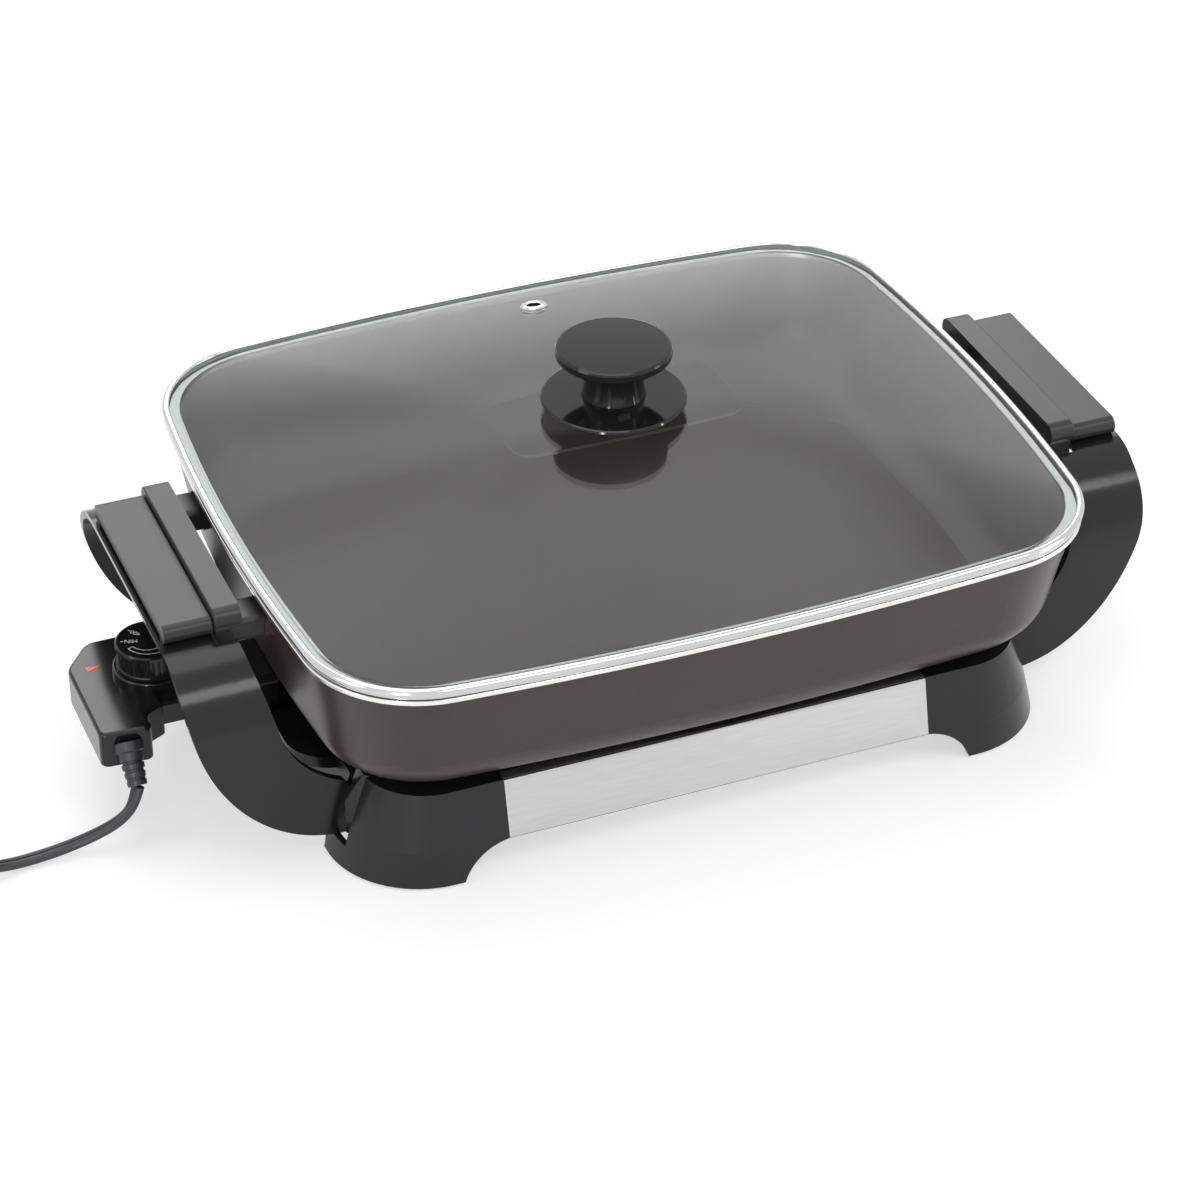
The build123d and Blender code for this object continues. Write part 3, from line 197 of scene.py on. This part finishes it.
# %% Shader maths as plain sums
class Wire:
    """The output of a shader node, for use in sums."""

    def __init__(self, tree, socket):
        self.tree = tree
        self.socket = socket

    def maths(self, operation, *terms):
        node = self.tree.nodes.new("ShaderNodeMath")
        node.operation = operation
        for slot, term in zip(node.inputs, terms):
            connect(self.tree, term, slot)
        return Wire(self.tree, node.outputs[0])

    def __add__(self, other):
        return self.maths("ADD", self, other)

    def __radd__(self, other):
        return self.maths("ADD", other, self)

    def __sub__(self, other):
        return self.maths("SUBTRACT", self, other)

    def __rsub__(self, other):
        return self.maths("SUBTRACT", other, self)

    def __mul__(self, other):
        return self.maths("MULTIPLY", self, other)

    def __rmul__(self, other):
        return self.maths("MULTIPLY", other, self)

    def __truediv__(self, other):
        return self.maths("DIVIDE", self, other)

    def __pow__(self, other):
        return self.maths("POWER", self, other)

    def above(self, level):
        """1 where the wire is over the level, 0 elsewhere."""
        return self.maths("GREATER_THAN", self, level)

    def at_least(self, level):
        return self.maths("MAXIMUM", self, level)

    def at_most(self, level):
        return self.maths("MINIMUM", self, level)


def connect(tree, value, slot):
    """Links a wire to a socket, or writes a plain value on it."""
    if isinstance(value, Wire):
        tree.links.new(value.socket, slot)
    elif hasattr(value, "__len__") and len(value) == 3 and len(slot.default_value) == 4:
        slot.default_value = (*value, 1.0)
    else:
        slot.default_value = value


print("sums of wires add their own Math nodes")

# %% [markdown]
# A second class holds a network and makes any other node in one call, for a material or for
# the world.  The nodes that most finishes share have a short name: object coordinates, cloudy
# noise and a mix of two colours.

# %% Networks of nodes
class Network:
    """The nodes of a material or of the world."""

    def __init__(self, tree):
        self.tree = tree

    def node(self, kind, settings=None, inputs=None, output=0):
        """Any node: its settings first, then its sockets by name or number."""
        made = self.tree.nodes.new("ShaderNode" + kind)
        for name, value in (settings or {}).items():
            setattr(made, name, value)
        for name, value in (inputs or {}).items():
            connect(self.tree, value, made.inputs[name])
        return Wire(self.tree, made.outputs[output])

    def place(self, stretch=(1, 1, 1)):
        """Object coordinates in metres, multiplied along the axes."""
        raw = self.node("TexCoord", output="Object")
        sockets = {"Vector": raw, "Scale": Vector(stretch)}
        return self.node("Mapping", {"vector_type": "POINT"}, sockets)

    def axis(self, letter):
        """One object coordinate, in metres."""
        raw = self.node("TexCoord", output="Object")
        return self.node("SeparateXYZ", inputs={"Vector": raw}, output=letter)

    def noise(self, scale, stretch=(1, 1, 1), detail=3.0, roughness=0.55):
        """Cloudy noise from 0 to 1; scale counts features per metre."""
        sockets = {
            "Vector": self.place(stretch),
            "Scale": scale,
            "Detail": detail,
            "Roughness": roughness,
        }
        return self.node("TexNoise", inputs=sockets)

    def mix(self, share, first, second):
        """A colour between two others."""
        return self.node("Mix", {"data_type": "RGBA"}, {0: share, 6: first, 7: second}, 2)

    def ray(self, kind):
        """1 for rays of that kind, 0 for the others."""
        return self.node("LightPath", output=f"Is {kind} Ray")

    def background_rays(self):
        """1 for the rays that show the background: to the camera, in a mirror, through glass."""
        return (self.ray("Camera") + self.ray("Transmission") + self.ray("Glossy")).at_most(1.0)


print("any node is made by Network.node")

# %% [markdown]
# A finish is a network round one Principled shader.  Values that are the same all over go
# straight onto the shader's sockets; what varies is noise, fed to colour, roughness and bump.

# %% Finishes
class Finish(Network):
    """A material with one Principled shader."""

    def __init__(self, name, **sockets):
        self.material = bpy.data.materials.new(name)
        self.material.use_nodes = True
        super().__init__(self.material.node_tree)
        self.shader = self.tree.nodes["Principled BSDF"]
        self.set(**sockets)

    def set(self, **sockets):
        """Values or wires for the shader, by socket name with _ for each space."""
        for name, value in sockets.items():
            connect(self.tree, value, self.shader.inputs[name.replace("_", " ")])

    def bump(self, height, depth):
        """Feeds a height from 0 to 1, that many metres deep, to the shader's normal."""
        sockets = {"Height": height, "Distance": depth, "Strength": 1.0}
        self.set(Normal=self.node("Bump", inputs=sockets))


print("finishes are written with Finish")

# %% [markdown]
# ## Black plastic
# The arches, the base and the control are moulded in gloss black, the grips in a satin one
# whose greyer colour is partly a painted sheen, standing in for the light on their tops.  One
# flat black would do for a sketch, but a moulded surface is never perfectly even: it has the
# slightest wave, and handling leaves it a little duller in places.

# %% Gloss and satin black plastic
def black_plastic(
    name, shine, wave, dark=(0.0075, 0.0077, 0.0085), pale=(0.0125, 0.0126, 0.0135)
):
    """Moulded black plastic: shine is its roughness and wave how deep its surface rolls."""
    finish = Finish(name, IOR=1.42)
    smears = finish.noise(28, detail=4)
    grain = finish.noise(900, detail=2)
    finish.set(
        Base_Color=finish.mix(smears, dark, pale),
        Roughness=shine + 0.06 * smears + 0.02 * grain,
    )
    finish.bump(finish.noise(160, detail=1) + 0.15 * grain, wave)
    return finish.material


frame_tones = (0.009, 0.0095, 0.0105), (0.014, 0.0145, 0.016)
# The grips' paler tones are partly a painted sheen: a greyer colour lifts their tops as light on
# them would.
grip_tones_with_painted_sheen = (0.020, 0.020, 0.021), (0.028, 0.028, 0.029)
gloss_black = black_plastic("gloss_black", 0.11, 0.00002)
frame_black = black_plastic("frame_black", 0.20, 0.00003, *frame_tones)
grip_black = black_plastic("grip_black", 0.30, 0.00002, *grip_tones_with_painted_sheen)
arch_black = black_plastic("arch_black", 0.12, 0.00003)
knob_black = black_plastic("knob_black", 0.04, 0.00001)
blacks = (gloss_black, frame_black, grip_black, arch_black, knob_black)
print("black plastics:", [black.name for black in blacks])

# %% [markdown]
# ## Metals
# The panels are brushed along their length.  Drawn scratches would repeat, so the scratches
# are a noise whose features are some seventy times longer along X than across, and the
# shader's anisotropy draws the highlights out.

# %% Brushed metal
def brushed(name, colour, base, along=(1.2, 90, 90)):
    """Metal with straight scratches along X."""
    finish = Finish(name, Metallic=1.0, Anisotropic=0.5)
    lines = finish.noise(60, along, detail=5, roughness=0.7)
    hair = finish.noise(25, (1.5, 40, 40), detail=3, roughness=0.6)
    broad = finish.noise(9, (1, 2, 2), detail=2)
    dark = tuple(0.55 * c for c in colour)
    finish.set(
        Base_Color=finish.mix(0.45 * lines + 0.35 * hair + 0.30 * broad, dark, colour),
        Roughness=base + 0.12 * lines + 0.10 * (broad - 0.5),
    )
    finish.bump(lines, 0.000004)
    return finish.material


panel_steel = brushed("panel_steel", (0.70, 0.70, 0.69), 0.27)
shield_metal = brushed("shield_metal", (0.60, 0.61, 0.62), 0.38, (4, 30, 30))
print("brushed metals:", panel_steel.name, shield_metal.name)

# %% [markdown]
# The lid's rim and the small hardware are polished or plated.  They need no pattern, only
# faint marks of wiping, or they would look like mirrors from a drawing.

# %% Polished and plated metals
def plated(name, colour, base):
    """Smooth bright metal with faint marks of wiping."""
    finish = Finish(name, Metallic=1.0)
    wiped = finish.noise(45, detail=4)
    fine = finish.noise(1300, detail=2)
    finish.set(
        Base_Color=finish.mix(wiped, tuple(0.9 * c for c in colour), colour),
        Roughness=base + 0.06 * wiped + 0.03 * fine,
    )
    finish.bump(fine, 0.000004)
    return finish.material


rim_steel = plated("rim_steel", (0.64, 0.65, 0.65), 0.09)
screw_steel = plated("screw_steel", (0.55, 0.55, 0.56), 0.24)
brass = plated("brass", (0.72, 0.53, 0.26), 0.22)
print("plated metals:", rim_steel.name, screw_steel.name, brass.name)

# %% [markdown]
# ## The pan's coating
# The casting is sprayed with a non-stick coat: a satin, brownish charcoal with a fine speckle
# in it.  Only the upper edge of the lip is machined bright.  That edge could be a piece of its
# own, but it is the same casting, so a mask on the height Z picks it out of one finish.

# %% Non-stick coating with a bright lip
lip_depth = 0.0021


def coated_pan():
    """The coat below the lip's edge and bare metal above it."""
    finish = Finish("pan_coating", IOR=1.45)
    pan_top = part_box("pan")[1].z
    lip = finish.axis("Z").above(pan_top - lip_depth)
    speckle = finish.noise(2600, detail=1).above(0.62)
    cloud = finish.noise(22, detail=3)
    coat = finish.mix(cloud, (0.021, 0.0160, 0.0138), (0.029, 0.0225, 0.0195))
    coat = finish.mix(0.18 * speckle, coat, (0.13, 0.11, 0.10))
    finish.set(
        Base_Color=finish.mix(lip, coat, (0.80, 0.79, 0.77)),
        Metallic=0.95 * lip,
        Roughness=0.27 + 0.07 * cloud - 0.12 * lip,
    )
    finish.bump(finish.noise(1500, detail=2), 0.0000015)
    print("pan: bare metal from z", round(pan_top - lip_depth, 4), "to", round(pan_top, 4))
    return finish.material


pan_coating = coated_pan()

# %% [markdown]
# ## Glass
# The lid is clear tempered glass, a little green.  Real glass bends light, but a ray tracer
# finds lamps through it only by luck, so rays that look for a lamp pass straight through and
# only take its tint.

# %% Lid glass
def lid_glass():
    """Bending glass for the eye, plain tinted air for the lamps."""
    finish = Finish(
        "lid_glass", Base_Color=(0.965, 0.985, 0.975), Transmission_Weight=1.0, IOR=1.45
    )
    finish.set(Roughness=0.004 * finish.noise(14, detail=4))
    bending = Wire(finish.tree, finish.shader.outputs[0])
    straight = finish.node("BsdfTransparent", inputs={"Color": (0.93, 0.96, 0.945)})
    both = finish.node("MixShader", inputs={0: finish.ray("Shadow"), 1: bending, 2: straight})
    connect(finish.tree, both, finish.tree.nodes["Material Output"].inputs["Surface"])
    return finish.material


glass = lid_glass()
print("glass:", glass.name)

# %% [markdown]
# ## Small materials
# Rubber pads, the flex, ceramic, the heater's oxidised tube, the orange pointer and the
# dial's white.  They are small, so two plain recipes do for all.  The first, for rubber and
# the flex, has a fine dull grain.

# %% Rubber and flex
def soft_black(name, dark, pale, base, depth):
    """Rubbery plastic with a fine dull grain."""
    finish = Finish(name)
    grain = finish.noise(1800, detail=2)
    cloud = finish.noise(60, detail=3)
    finish.set(Base_Color=finish.mix(cloud, dark, pale), Roughness=base + 0.12 * grain)
    finish.bump(grain, depth)
    return finish.material


flex = soft_black("flex", (0.022, 0.023, 0.026), (0.034, 0.035, 0.040), 0.38, 0.00002)
rubber = soft_black("rubber", (0.016, 0.016, 0.016), (0.026, 0.026, 0.026), 0.62, 0.00003)
print("soft blacks:", flex.name, rubber.name)

# %% [markdown]
# The second recipe: a cloud between two tones of one colour, with a roughness that follows it.

# %% Ceramic, heater, pointer and marks
def toned(name, dark, pale, base, scale, metal=0.0):
    """A cloudy colour of its own."""
    finish = Finish(name, Metallic=metal)
    cloud = finish.noise(scale, detail=5)
    finish.set(Base_Color=finish.mix(cloud, dark, pale), Roughness=base + 0.15 * cloud)
    finish.bump(cloud, 0.00001)
    return finish.material


ceramic = toned("ceramic", (0.66, 0.62, 0.54), (0.76, 0.73, 0.66), 0.35, 200)
element_metal = toned(
    "element_metal", (0.10, 0.085, 0.075), (0.30, 0.27, 0.24), 0.35, 120, metal=0.9
)
pointer_orange = toned("pointer_orange", (0.85, 0.11, 0.02), (0.95, 0.16, 0.04), 0.28, 700)
dial_white = toned("dial_white", (0.72, 0.72, 0.71), (0.82, 0.82, 0.81), 0.45, 900)
print("toned:", ceramic.name, element_metal.name, pointer_orange.name, dial_white.name)

# %% [markdown]
# ## Finishes on the pieces
# Each piece gets its finish by name; what isn't named is a screw, a shaft or hidden.  Smooth
# shading makes the turned and moulded forms look round, and edges sharper than 30 degrees are
# kept crisp.

# %% Give each piece its finish
crisp_angle = math.radians(30)
finish_of = {
    "base_frame": frame_black,
    "front_panel": panel_steel,
    "rear_panel": panel_steel,
    "handle_left": arch_black,
    "handle_right": arch_black,
    "grip_left": grip_black,
    "grip_right": grip_black,
    "pan_handle_left": grip_black,
    "pan_handle_right": grip_black,
    "terminal_guard": frame_black,
    "control_housing": gloss_black,
    "control_base": gloss_black,
    "dial": gloss_black,
    "knob": knob_black,
    "knob_disc": knob_black,
    "pan": pan_coating,
    "lid_glass": glass,
    "lid_rim": rim_steel,
    "vent_grommet": rim_steel,
    "knob_washer": rim_steel,
    "probe_tube": rim_steel,
    "terminal_pins": rim_steel,
    "heat_shield": shield_metal,
    "rubber_feet": rubber,
    "heating_element": element_metal,
    "terminal_insulators": ceramic,
    "thermostat_block": ceramic,
    "knob_insert": brass,
    "contact_sleeves": brass,
    "switch_blades": brass,
    "plug_prongs": brass,
    "indicator_lens": pointer_orange,
    "strain_relief": flex,
    "coil_tie": rubber,
    "plug_body": flex,
}
cord_curve.materials.append(flex)
for name, solid in nodes.items():
    mesh = solid.data
    mesh.materials.clear()
    mesh.materials.append(finish_of.get(name, screw_steel))
    mesh.shade_smooth()
    mesh.set_sharp_from_angle(angle=crisp_angle)
print("finished:", len(nodes), "solids")

# %% [markdown]
# ## The lid's rim
# The glass sits in a steel strip that is rolled over its edge: a bright bead on top, a plain
# wall outside and a ledge under the glass.  A fillet on a solid gives a flat band, so the strip
# is made here as a section swept round the lid's own outline.  That outline is four wide arcs
# joined by four corner arcs, and stepping inwards only shortens the radii.

# %% The wide arcs of the lid's outline
rim_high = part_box("lid_rim")[1]
corner_radius, side_bulge = 0.058, 0.011


def side_circle(reach, other):
    """Centre distance and radius of a side's wide arc."""
    half_chord = other - side_bulge
    radius = (half_chord**2 + side_bulge**2) / (2 * side_bulge)
    return reach - radius, radius


end_centre, end_radius = side_circle(rim_high.x, rim_high.y)
long_centre, long_radius = side_circle(rim_high.y, rim_high.x)
print("arc radius:", round(end_radius, 3), "at the ends,", round(long_radius, 3), "on the sides")

# %% [markdown]
# The corner arc has to touch both wide arcs without a kink.  Its centre is therefore one corner
# radius inside each of them: where two circles cross, one round each wide arc's centre.

# %% Where a corner arc touches both sides
def corner_centre():
    """The point that lies one corner radius inside both wide arcs."""
    far_a, far_b = end_radius - corner_radius, long_radius - corner_radius
    apart = math.hypot(end_centre, long_centre)
    along = (far_a**2 - far_b**2 + apart**2) / (2 * apart)
    across = math.sqrt(far_a**2 - along**2)
    toward = Vector((-end_centre, long_centre)) / apart
    return Vector((end_centre, 0.0)) + toward * along + Vector((-toward.y, toward.x)) * across


corner = corner_centre()
end_angle = math.atan2(corner.y, corner.x - end_centre)
long_angle = math.atan2(corner.y - long_centre, corner.x)
print("corner centre:", [round(v, 4) for v in corner])

# %% [markdown]
# One quarter of the outline is three arcs, and the other three quarters are the same points
# with X, Y or both turned round.  Each point keeps its outward direction, which the section
# needs in order to stand square on the outline.

# %% The outline of the lid
end_steps, corner_steps, side_steps = 25, 18, 30


def arc(centre, radius, start, stop, steps):
    """Points and outward directions along an arc, ends included."""
    found = []
    for step in range(steps + 1):
        turn = start + (stop - start) * step / steps
        out = Vector((math.cos(turn), math.sin(turn)))
        found.append((centre + out * radius, out))
    return found


def flipped(line, x_way, y_way):
    """The same points with X, Y or both turned round."""
    both = Vector((x_way, y_way))
    return [(point * both, out * both) for point, out in line]


quarter = arc(Vector((end_centre, 0.0)), end_radius, 0.0, end_angle, end_steps)
quarter += arc(corner, corner_radius, end_angle, long_angle, corner_steps)[1:-1]
quarter += arc(Vector((0.0, long_centre)), long_radius, long_angle, math.pi / 2, side_steps)
outline = (
    quarter
    + flipped(quarter[-2::-1], -1, 1)
    + flipped(quarter[1:], -1, -1)
    + flipped(quarter[-2:0:-1], 1, -1)
)
print("outline points:", len(outline))

# %% [markdown]
# The section is a list of insets from the outline and drops from the top, all in metres: the
# ledge, the plain wall, the bead and the flange that holds the glass down.  A modifier could
# sweep it, but a mesh of one copy for each outline point gives clean rings of faces.

# %% Sweep the rolled section round the outline
rim_crisp_angle = math.radians(50)
rim_section = [
    (0.0090, -0.0057), (0.0022, -0.0057), (0.0015, -0.0053), (0.0010, -0.0044),
    (0.0004, -0.0031), (0.0001, -0.0023), (0.0002, -0.0016), (0.0007, -0.0009),
    (0.0013, -0.0004), (0.0020, -0.0001), (0.0027, -0.0001), (0.0033, -0.0004),
    (0.0037, -0.0008), (0.0038, -0.0011), (0.0011, -0.0011), (0.0016, -0.0048),
    (0.0090, -0.0050),
]


def rolled_rim():
    """A closed ring: one copy of the section at each outline point, joined by faces."""
    mesh = bpy.data.meshes.new("rolled_rim")
    verts = [
        (*(point - out * inset), rim_high.z + drop)
        for point, out in outline
        for inset, drop in rim_section
    ]
    rows, columns = len(outline), len(rim_section)
    faces = []
    for row in range(rows):
        here, there = row * columns, (row + 1) % rows * columns
        for column in range(columns):
            after = (column + 1) % columns
            faces.append((here + column, there + column, there + after, here + after))
    mesh.from_pydata(verts, [], faces)
    shape = bmesh.new()
    shape.from_mesh(mesh)
    bmesh.ops.recalc_face_normals(shape, faces=shape.faces)
    shape.to_mesh(mesh)
    shape.free()
    mesh.shade_smooth()
    mesh.set_sharp_from_angle(angle=rim_crisp_angle)
    mesh.materials.append(rim_steel)
    return add("rolled_rim", mesh)


rim_ring = rolled_rim()
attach(rim_ring, "lid")
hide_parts("lid_rim")
print("rim faces:", len(rim_ring.data.polygons))

# %% [markdown]
# ## Dial marks
# The dial turns from MIN, round by the front, to 400.  Its marks are printed white: words set
# along the radius, ticks, and a band that widens as the heat goes up.  Print has no thickness,
# but a shape level with the face would flicker, so the marks stand just proud of it.

# %% Bars on the dial
dial_low, dial_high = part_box("dial")
dial_middle = (dial_low + dial_high) / 2
face_drop, mark_proud = 0.0004, 0.00006
mark_z = dial_high.z - face_drop + mark_proud
min_angle, max_angle = 164.0, 481.0
tick_inner, tick_outer, tick_half_width = 0.0122, 0.0137, 0.00022


def mark_from(verts, faces, name):
    """A flat white mark from corners in the dial's plane."""
    mesh = bpy.data.meshes.new(name)
    corners = [(dial_middle.x + x, dial_middle.y + y, mark_z) for x, y in verts]
    mesh.from_pydata(corners, [], faces)
    mesh.materials.append(dial_white)
    mark = add(name, mesh)
    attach(mark, "dial")
    return mark


def around(radius, degrees):
    """The place at that angle on a circle round the dial's middle."""
    return (radius * math.cos(math.radians(degrees)), radius * math.sin(math.radians(degrees)))


def tick(name, degrees):
    """A short bar along the radius."""
    out = Vector(around(1, degrees))
    side = Vector((-out.y, out.x)) * tick_half_width
    inner, outer = out * tick_inner, out * tick_outer
    ends = [inner - side, outer - side, outer + side, inner + side]
    return mark_from([tuple(p) for p in ends], [(0, 1, 2, 3)], name)


tick("tick_min", min_angle)
tick("tick_max", max_angle)
print("dial marks from", min_angle, "to", max_angle - 360, "degrees")

# %% [markdown]
# The words could be drawn letter by letter, but a text object sets them in one line.  They are
# aligned to their right end, so that each one stops at the same distance from the edge.

# %% Words on the dial
word_size, word_end, word_thickness = 0.0036, 0.0118, 0.00004


def word(text, degrees, lean=0.0):
    """A word that reads outward along the radius, or leans from it a little."""
    curve = bpy.data.curves.new("word_" + text, "FONT")
    curve.body = text
    curve.size = word_size
    curve.align_x = "RIGHT"
    curve.align_y = "CENTER"
    curve.extrude = word_thickness
    curve.materials.append(dial_white)
    label = add("word_" + text, curve)
    out = Vector(around(word_end, degrees))
    label.location = (dial_middle.x + out.x, dial_middle.y + out.y, mark_z)
    label.rotation_euler = (0, 0, math.radians(degrees + lean))
    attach(label, "dial")
    return label


word("MIN", min_angle)
word("400", max_angle, 8.0)
print("words are", 1000 * word_size, "mm high")

# %% [markdown]
# The heat band is an outline, so two closed loops are made, one inside the other, with faces
# between them.

# %% Heat band on the dial
band_start, band_stop, band_steps = min_angle + 31, max_angle - 58, 48
band_outer, band_inner, band_widening, band_line = 0.0118, 0.0088, 0.0030, 0.0004
band_end_radius = 0.009


def heat_band():
    """The outline of a band round the dial that widens towards the hot end."""
    loops = []
    for inset in (0.0, band_line):
        end_shift = math.degrees(inset / band_end_radius)
        outer, inner = [], []
        for step in range(band_steps + 1):
            share = step / band_steps
            degrees = band_start + (band_stop - band_start) * share + end_shift * (1 - 2 * share)
            outer.append(around(band_outer - inset, degrees))
            inner.append(around(band_inner - band_widening * share + inset, degrees))
        loops.append(outer + inner[::-1])
    count = len(loops[0])
    faces = [(k, (k + 1) % count, count + (k + 1) % count, count + k) for k in range(count)]
    return mark_from(loops[0] + loops[1], faces, "heat_band")


band = heat_band()
print("heat band faces:", len(band.data.polygons))

# %% [markdown]
# ## Floor
# The skillet stands on a plain white floor and throws a soft shadow on it.  A floor that is
# only painted white turns grey where the lamps don't reach, and more light on the skillet is
# no cure.  So for the rays that show the background, half of the floor's white is paint, which
# takes the shadow, and half is its own glow; far out it is all glow.  For the rays that carry
# light onto the skillet it is plain pale paint.

# %% Lay the floor
scene.view_settings.view_transform = "Standard"
floor_half_side, floor_drop = 6, 0.0002
fade_start, fade_length = 0.6, 0.8
near_paint, near_glow, far_paint, far_glow = 0.54, 0.55, 0.02, 1.0


def grey(level):
    return (level, level, level)


def floor_paint():
    """Pale matt paint that shows as an even white."""
    finish = Finish("floor_paint", Specular_IOR_Level=0.0, Emission_Strength=1.0)
    cloud = finish.noise(3, detail=2)
    seen = finish.background_rays()
    reach = (finish.axis("X") ** 2 + finish.axis("Y") ** 2) ** 0.5
    far = ((reach - fade_start) / fade_length).at_least(0.0).at_most(1.0)
    paint = finish.mix(cloud, grey(0.90), grey(0.93))
    seen_paint = finish.mix(far, grey(near_paint), grey(far_paint))
    glow = finish.mix(far, grey(near_glow), grey(far_glow))
    finish.set(
        Base_Color=finish.mix(seen, paint, seen_paint),
        Emission_Color=finish.mix(seen, grey(0), glow),
        Roughness=0.85 + 0.05 * cloud,
    )
    return finish.material


floor_mesh = bpy.data.meshes.new("floor")
floor_corners = [
    (x * floor_half_side, y * floor_half_side, 0) for x, y in ((-1, -1), (1, -1), (1, 1), (-1, 1))
]
floor_mesh.from_pydata(floor_corners, [], [(0, 1, 2, 3)])
floor_mesh.materials.append(floor_paint())
floor = add("floor", floor_mesh)
floor.location.z = -floor_drop
print("floor:", 2 * floor_half_side, "metres square")

# %% [markdown]
# ## Surround
# The room round the skillet shows as white to the camera, in metal and through glass.  What it
# sends onto the skillet is dimmer, a bit under half, so that the lamps still shape it.

# %% White surround
room_light = 0.42
world = bpy.data.worlds.new("surround")
world.use_nodes = True
scene.world = world
room = Network(world.node_tree)
backdrop = room.tree.nodes["Background"]
backdrop.inputs["Color"].default_value = (1, 1, 1, 1)
shown = room.background_rays()
connect(room.tree, shown + room_light * (1 - shown), backdrop.inputs["Strength"])
print("surround: 1 where it shows,", room_light, "as light")

# %% [markdown]
# ## Lamps
# Gloss black shows little but reflections, so the shape and the edge of each lamp draw the
# highlights: a large panel overhead and one at the back for the flat tops, wide soft ones to
# the front, left and right, and two narrow strips low down for streaks on the arches and the
# base.  On flat glass such a panel shows as one hard white patch, which a studio takes out
# with a filter; here each lamp spares the glass, and the back one the pan and the knob too.

# %% Hang the lamps
middle, above_middle = (0.0, 0.0, 0.08), (0.0, 0.0, 0.2)


def lamp(name, place, aim, size, power, spared=("lid_glass",)):
    """A soft panel that shines at a point and neither lights nor shows in the spared solids."""
    data = bpy.data.lights.new(name, "AREA")
    data.shape = "RECTANGLE"
    data.size, data.size_y = size
    data.energy = power
    panel = add(name, data)
    panel.location = place
    panel.rotation_mode = "QUATERNION"
    panel.rotation_quaternion = (Vector(aim) - Vector(place)).to_track_quat("-Z", "Y")
    group = bpy.data.collections.new("spared_by_" + name)
    for piece in spared:
        group.objects.link(nodes[piece])
    for entry in group.collection_objects:
        entry.light_linking.link_state = "EXCLUDE"
    panel.light_linking.receiver_collection = group
    return panel


lamps = [
    lamp("overhead", (-0.3, 0.3, 2.2), middle, (1.8, 1.4), 13),
    lamp("front_top", (0.55, -1.15, 1.65), middle, (1.3, 0.45), 9),
    lamp(
        "back_panel", (0.35, 2.0, 1.50), middle, (2.2, 0.9), 22,
        ("lid_glass", "pan", "knob", "knob_disc"),
    ),
    lamp("front_left", (-1.5, -1.9, 0.9), middle, (0.45, 1.3), 8),
    lamp("left_panel", (-2.3, -0.3, 1.2), middle, (0.8, 1.4), 8),
    lamp("right_panel", (2.1, -0.9, 1.1), middle, (0.5, 1.4), 6),
    lamp("left_strip", (-1.05, -1.35, 0.33), above_middle, (0.10, 0.6), 4.5),
    lamp("right_strip", (1.30, -1.00, 0.33), above_middle, (0.10, 0.6), 3.5),
]
print("lamps:", len(lamps))
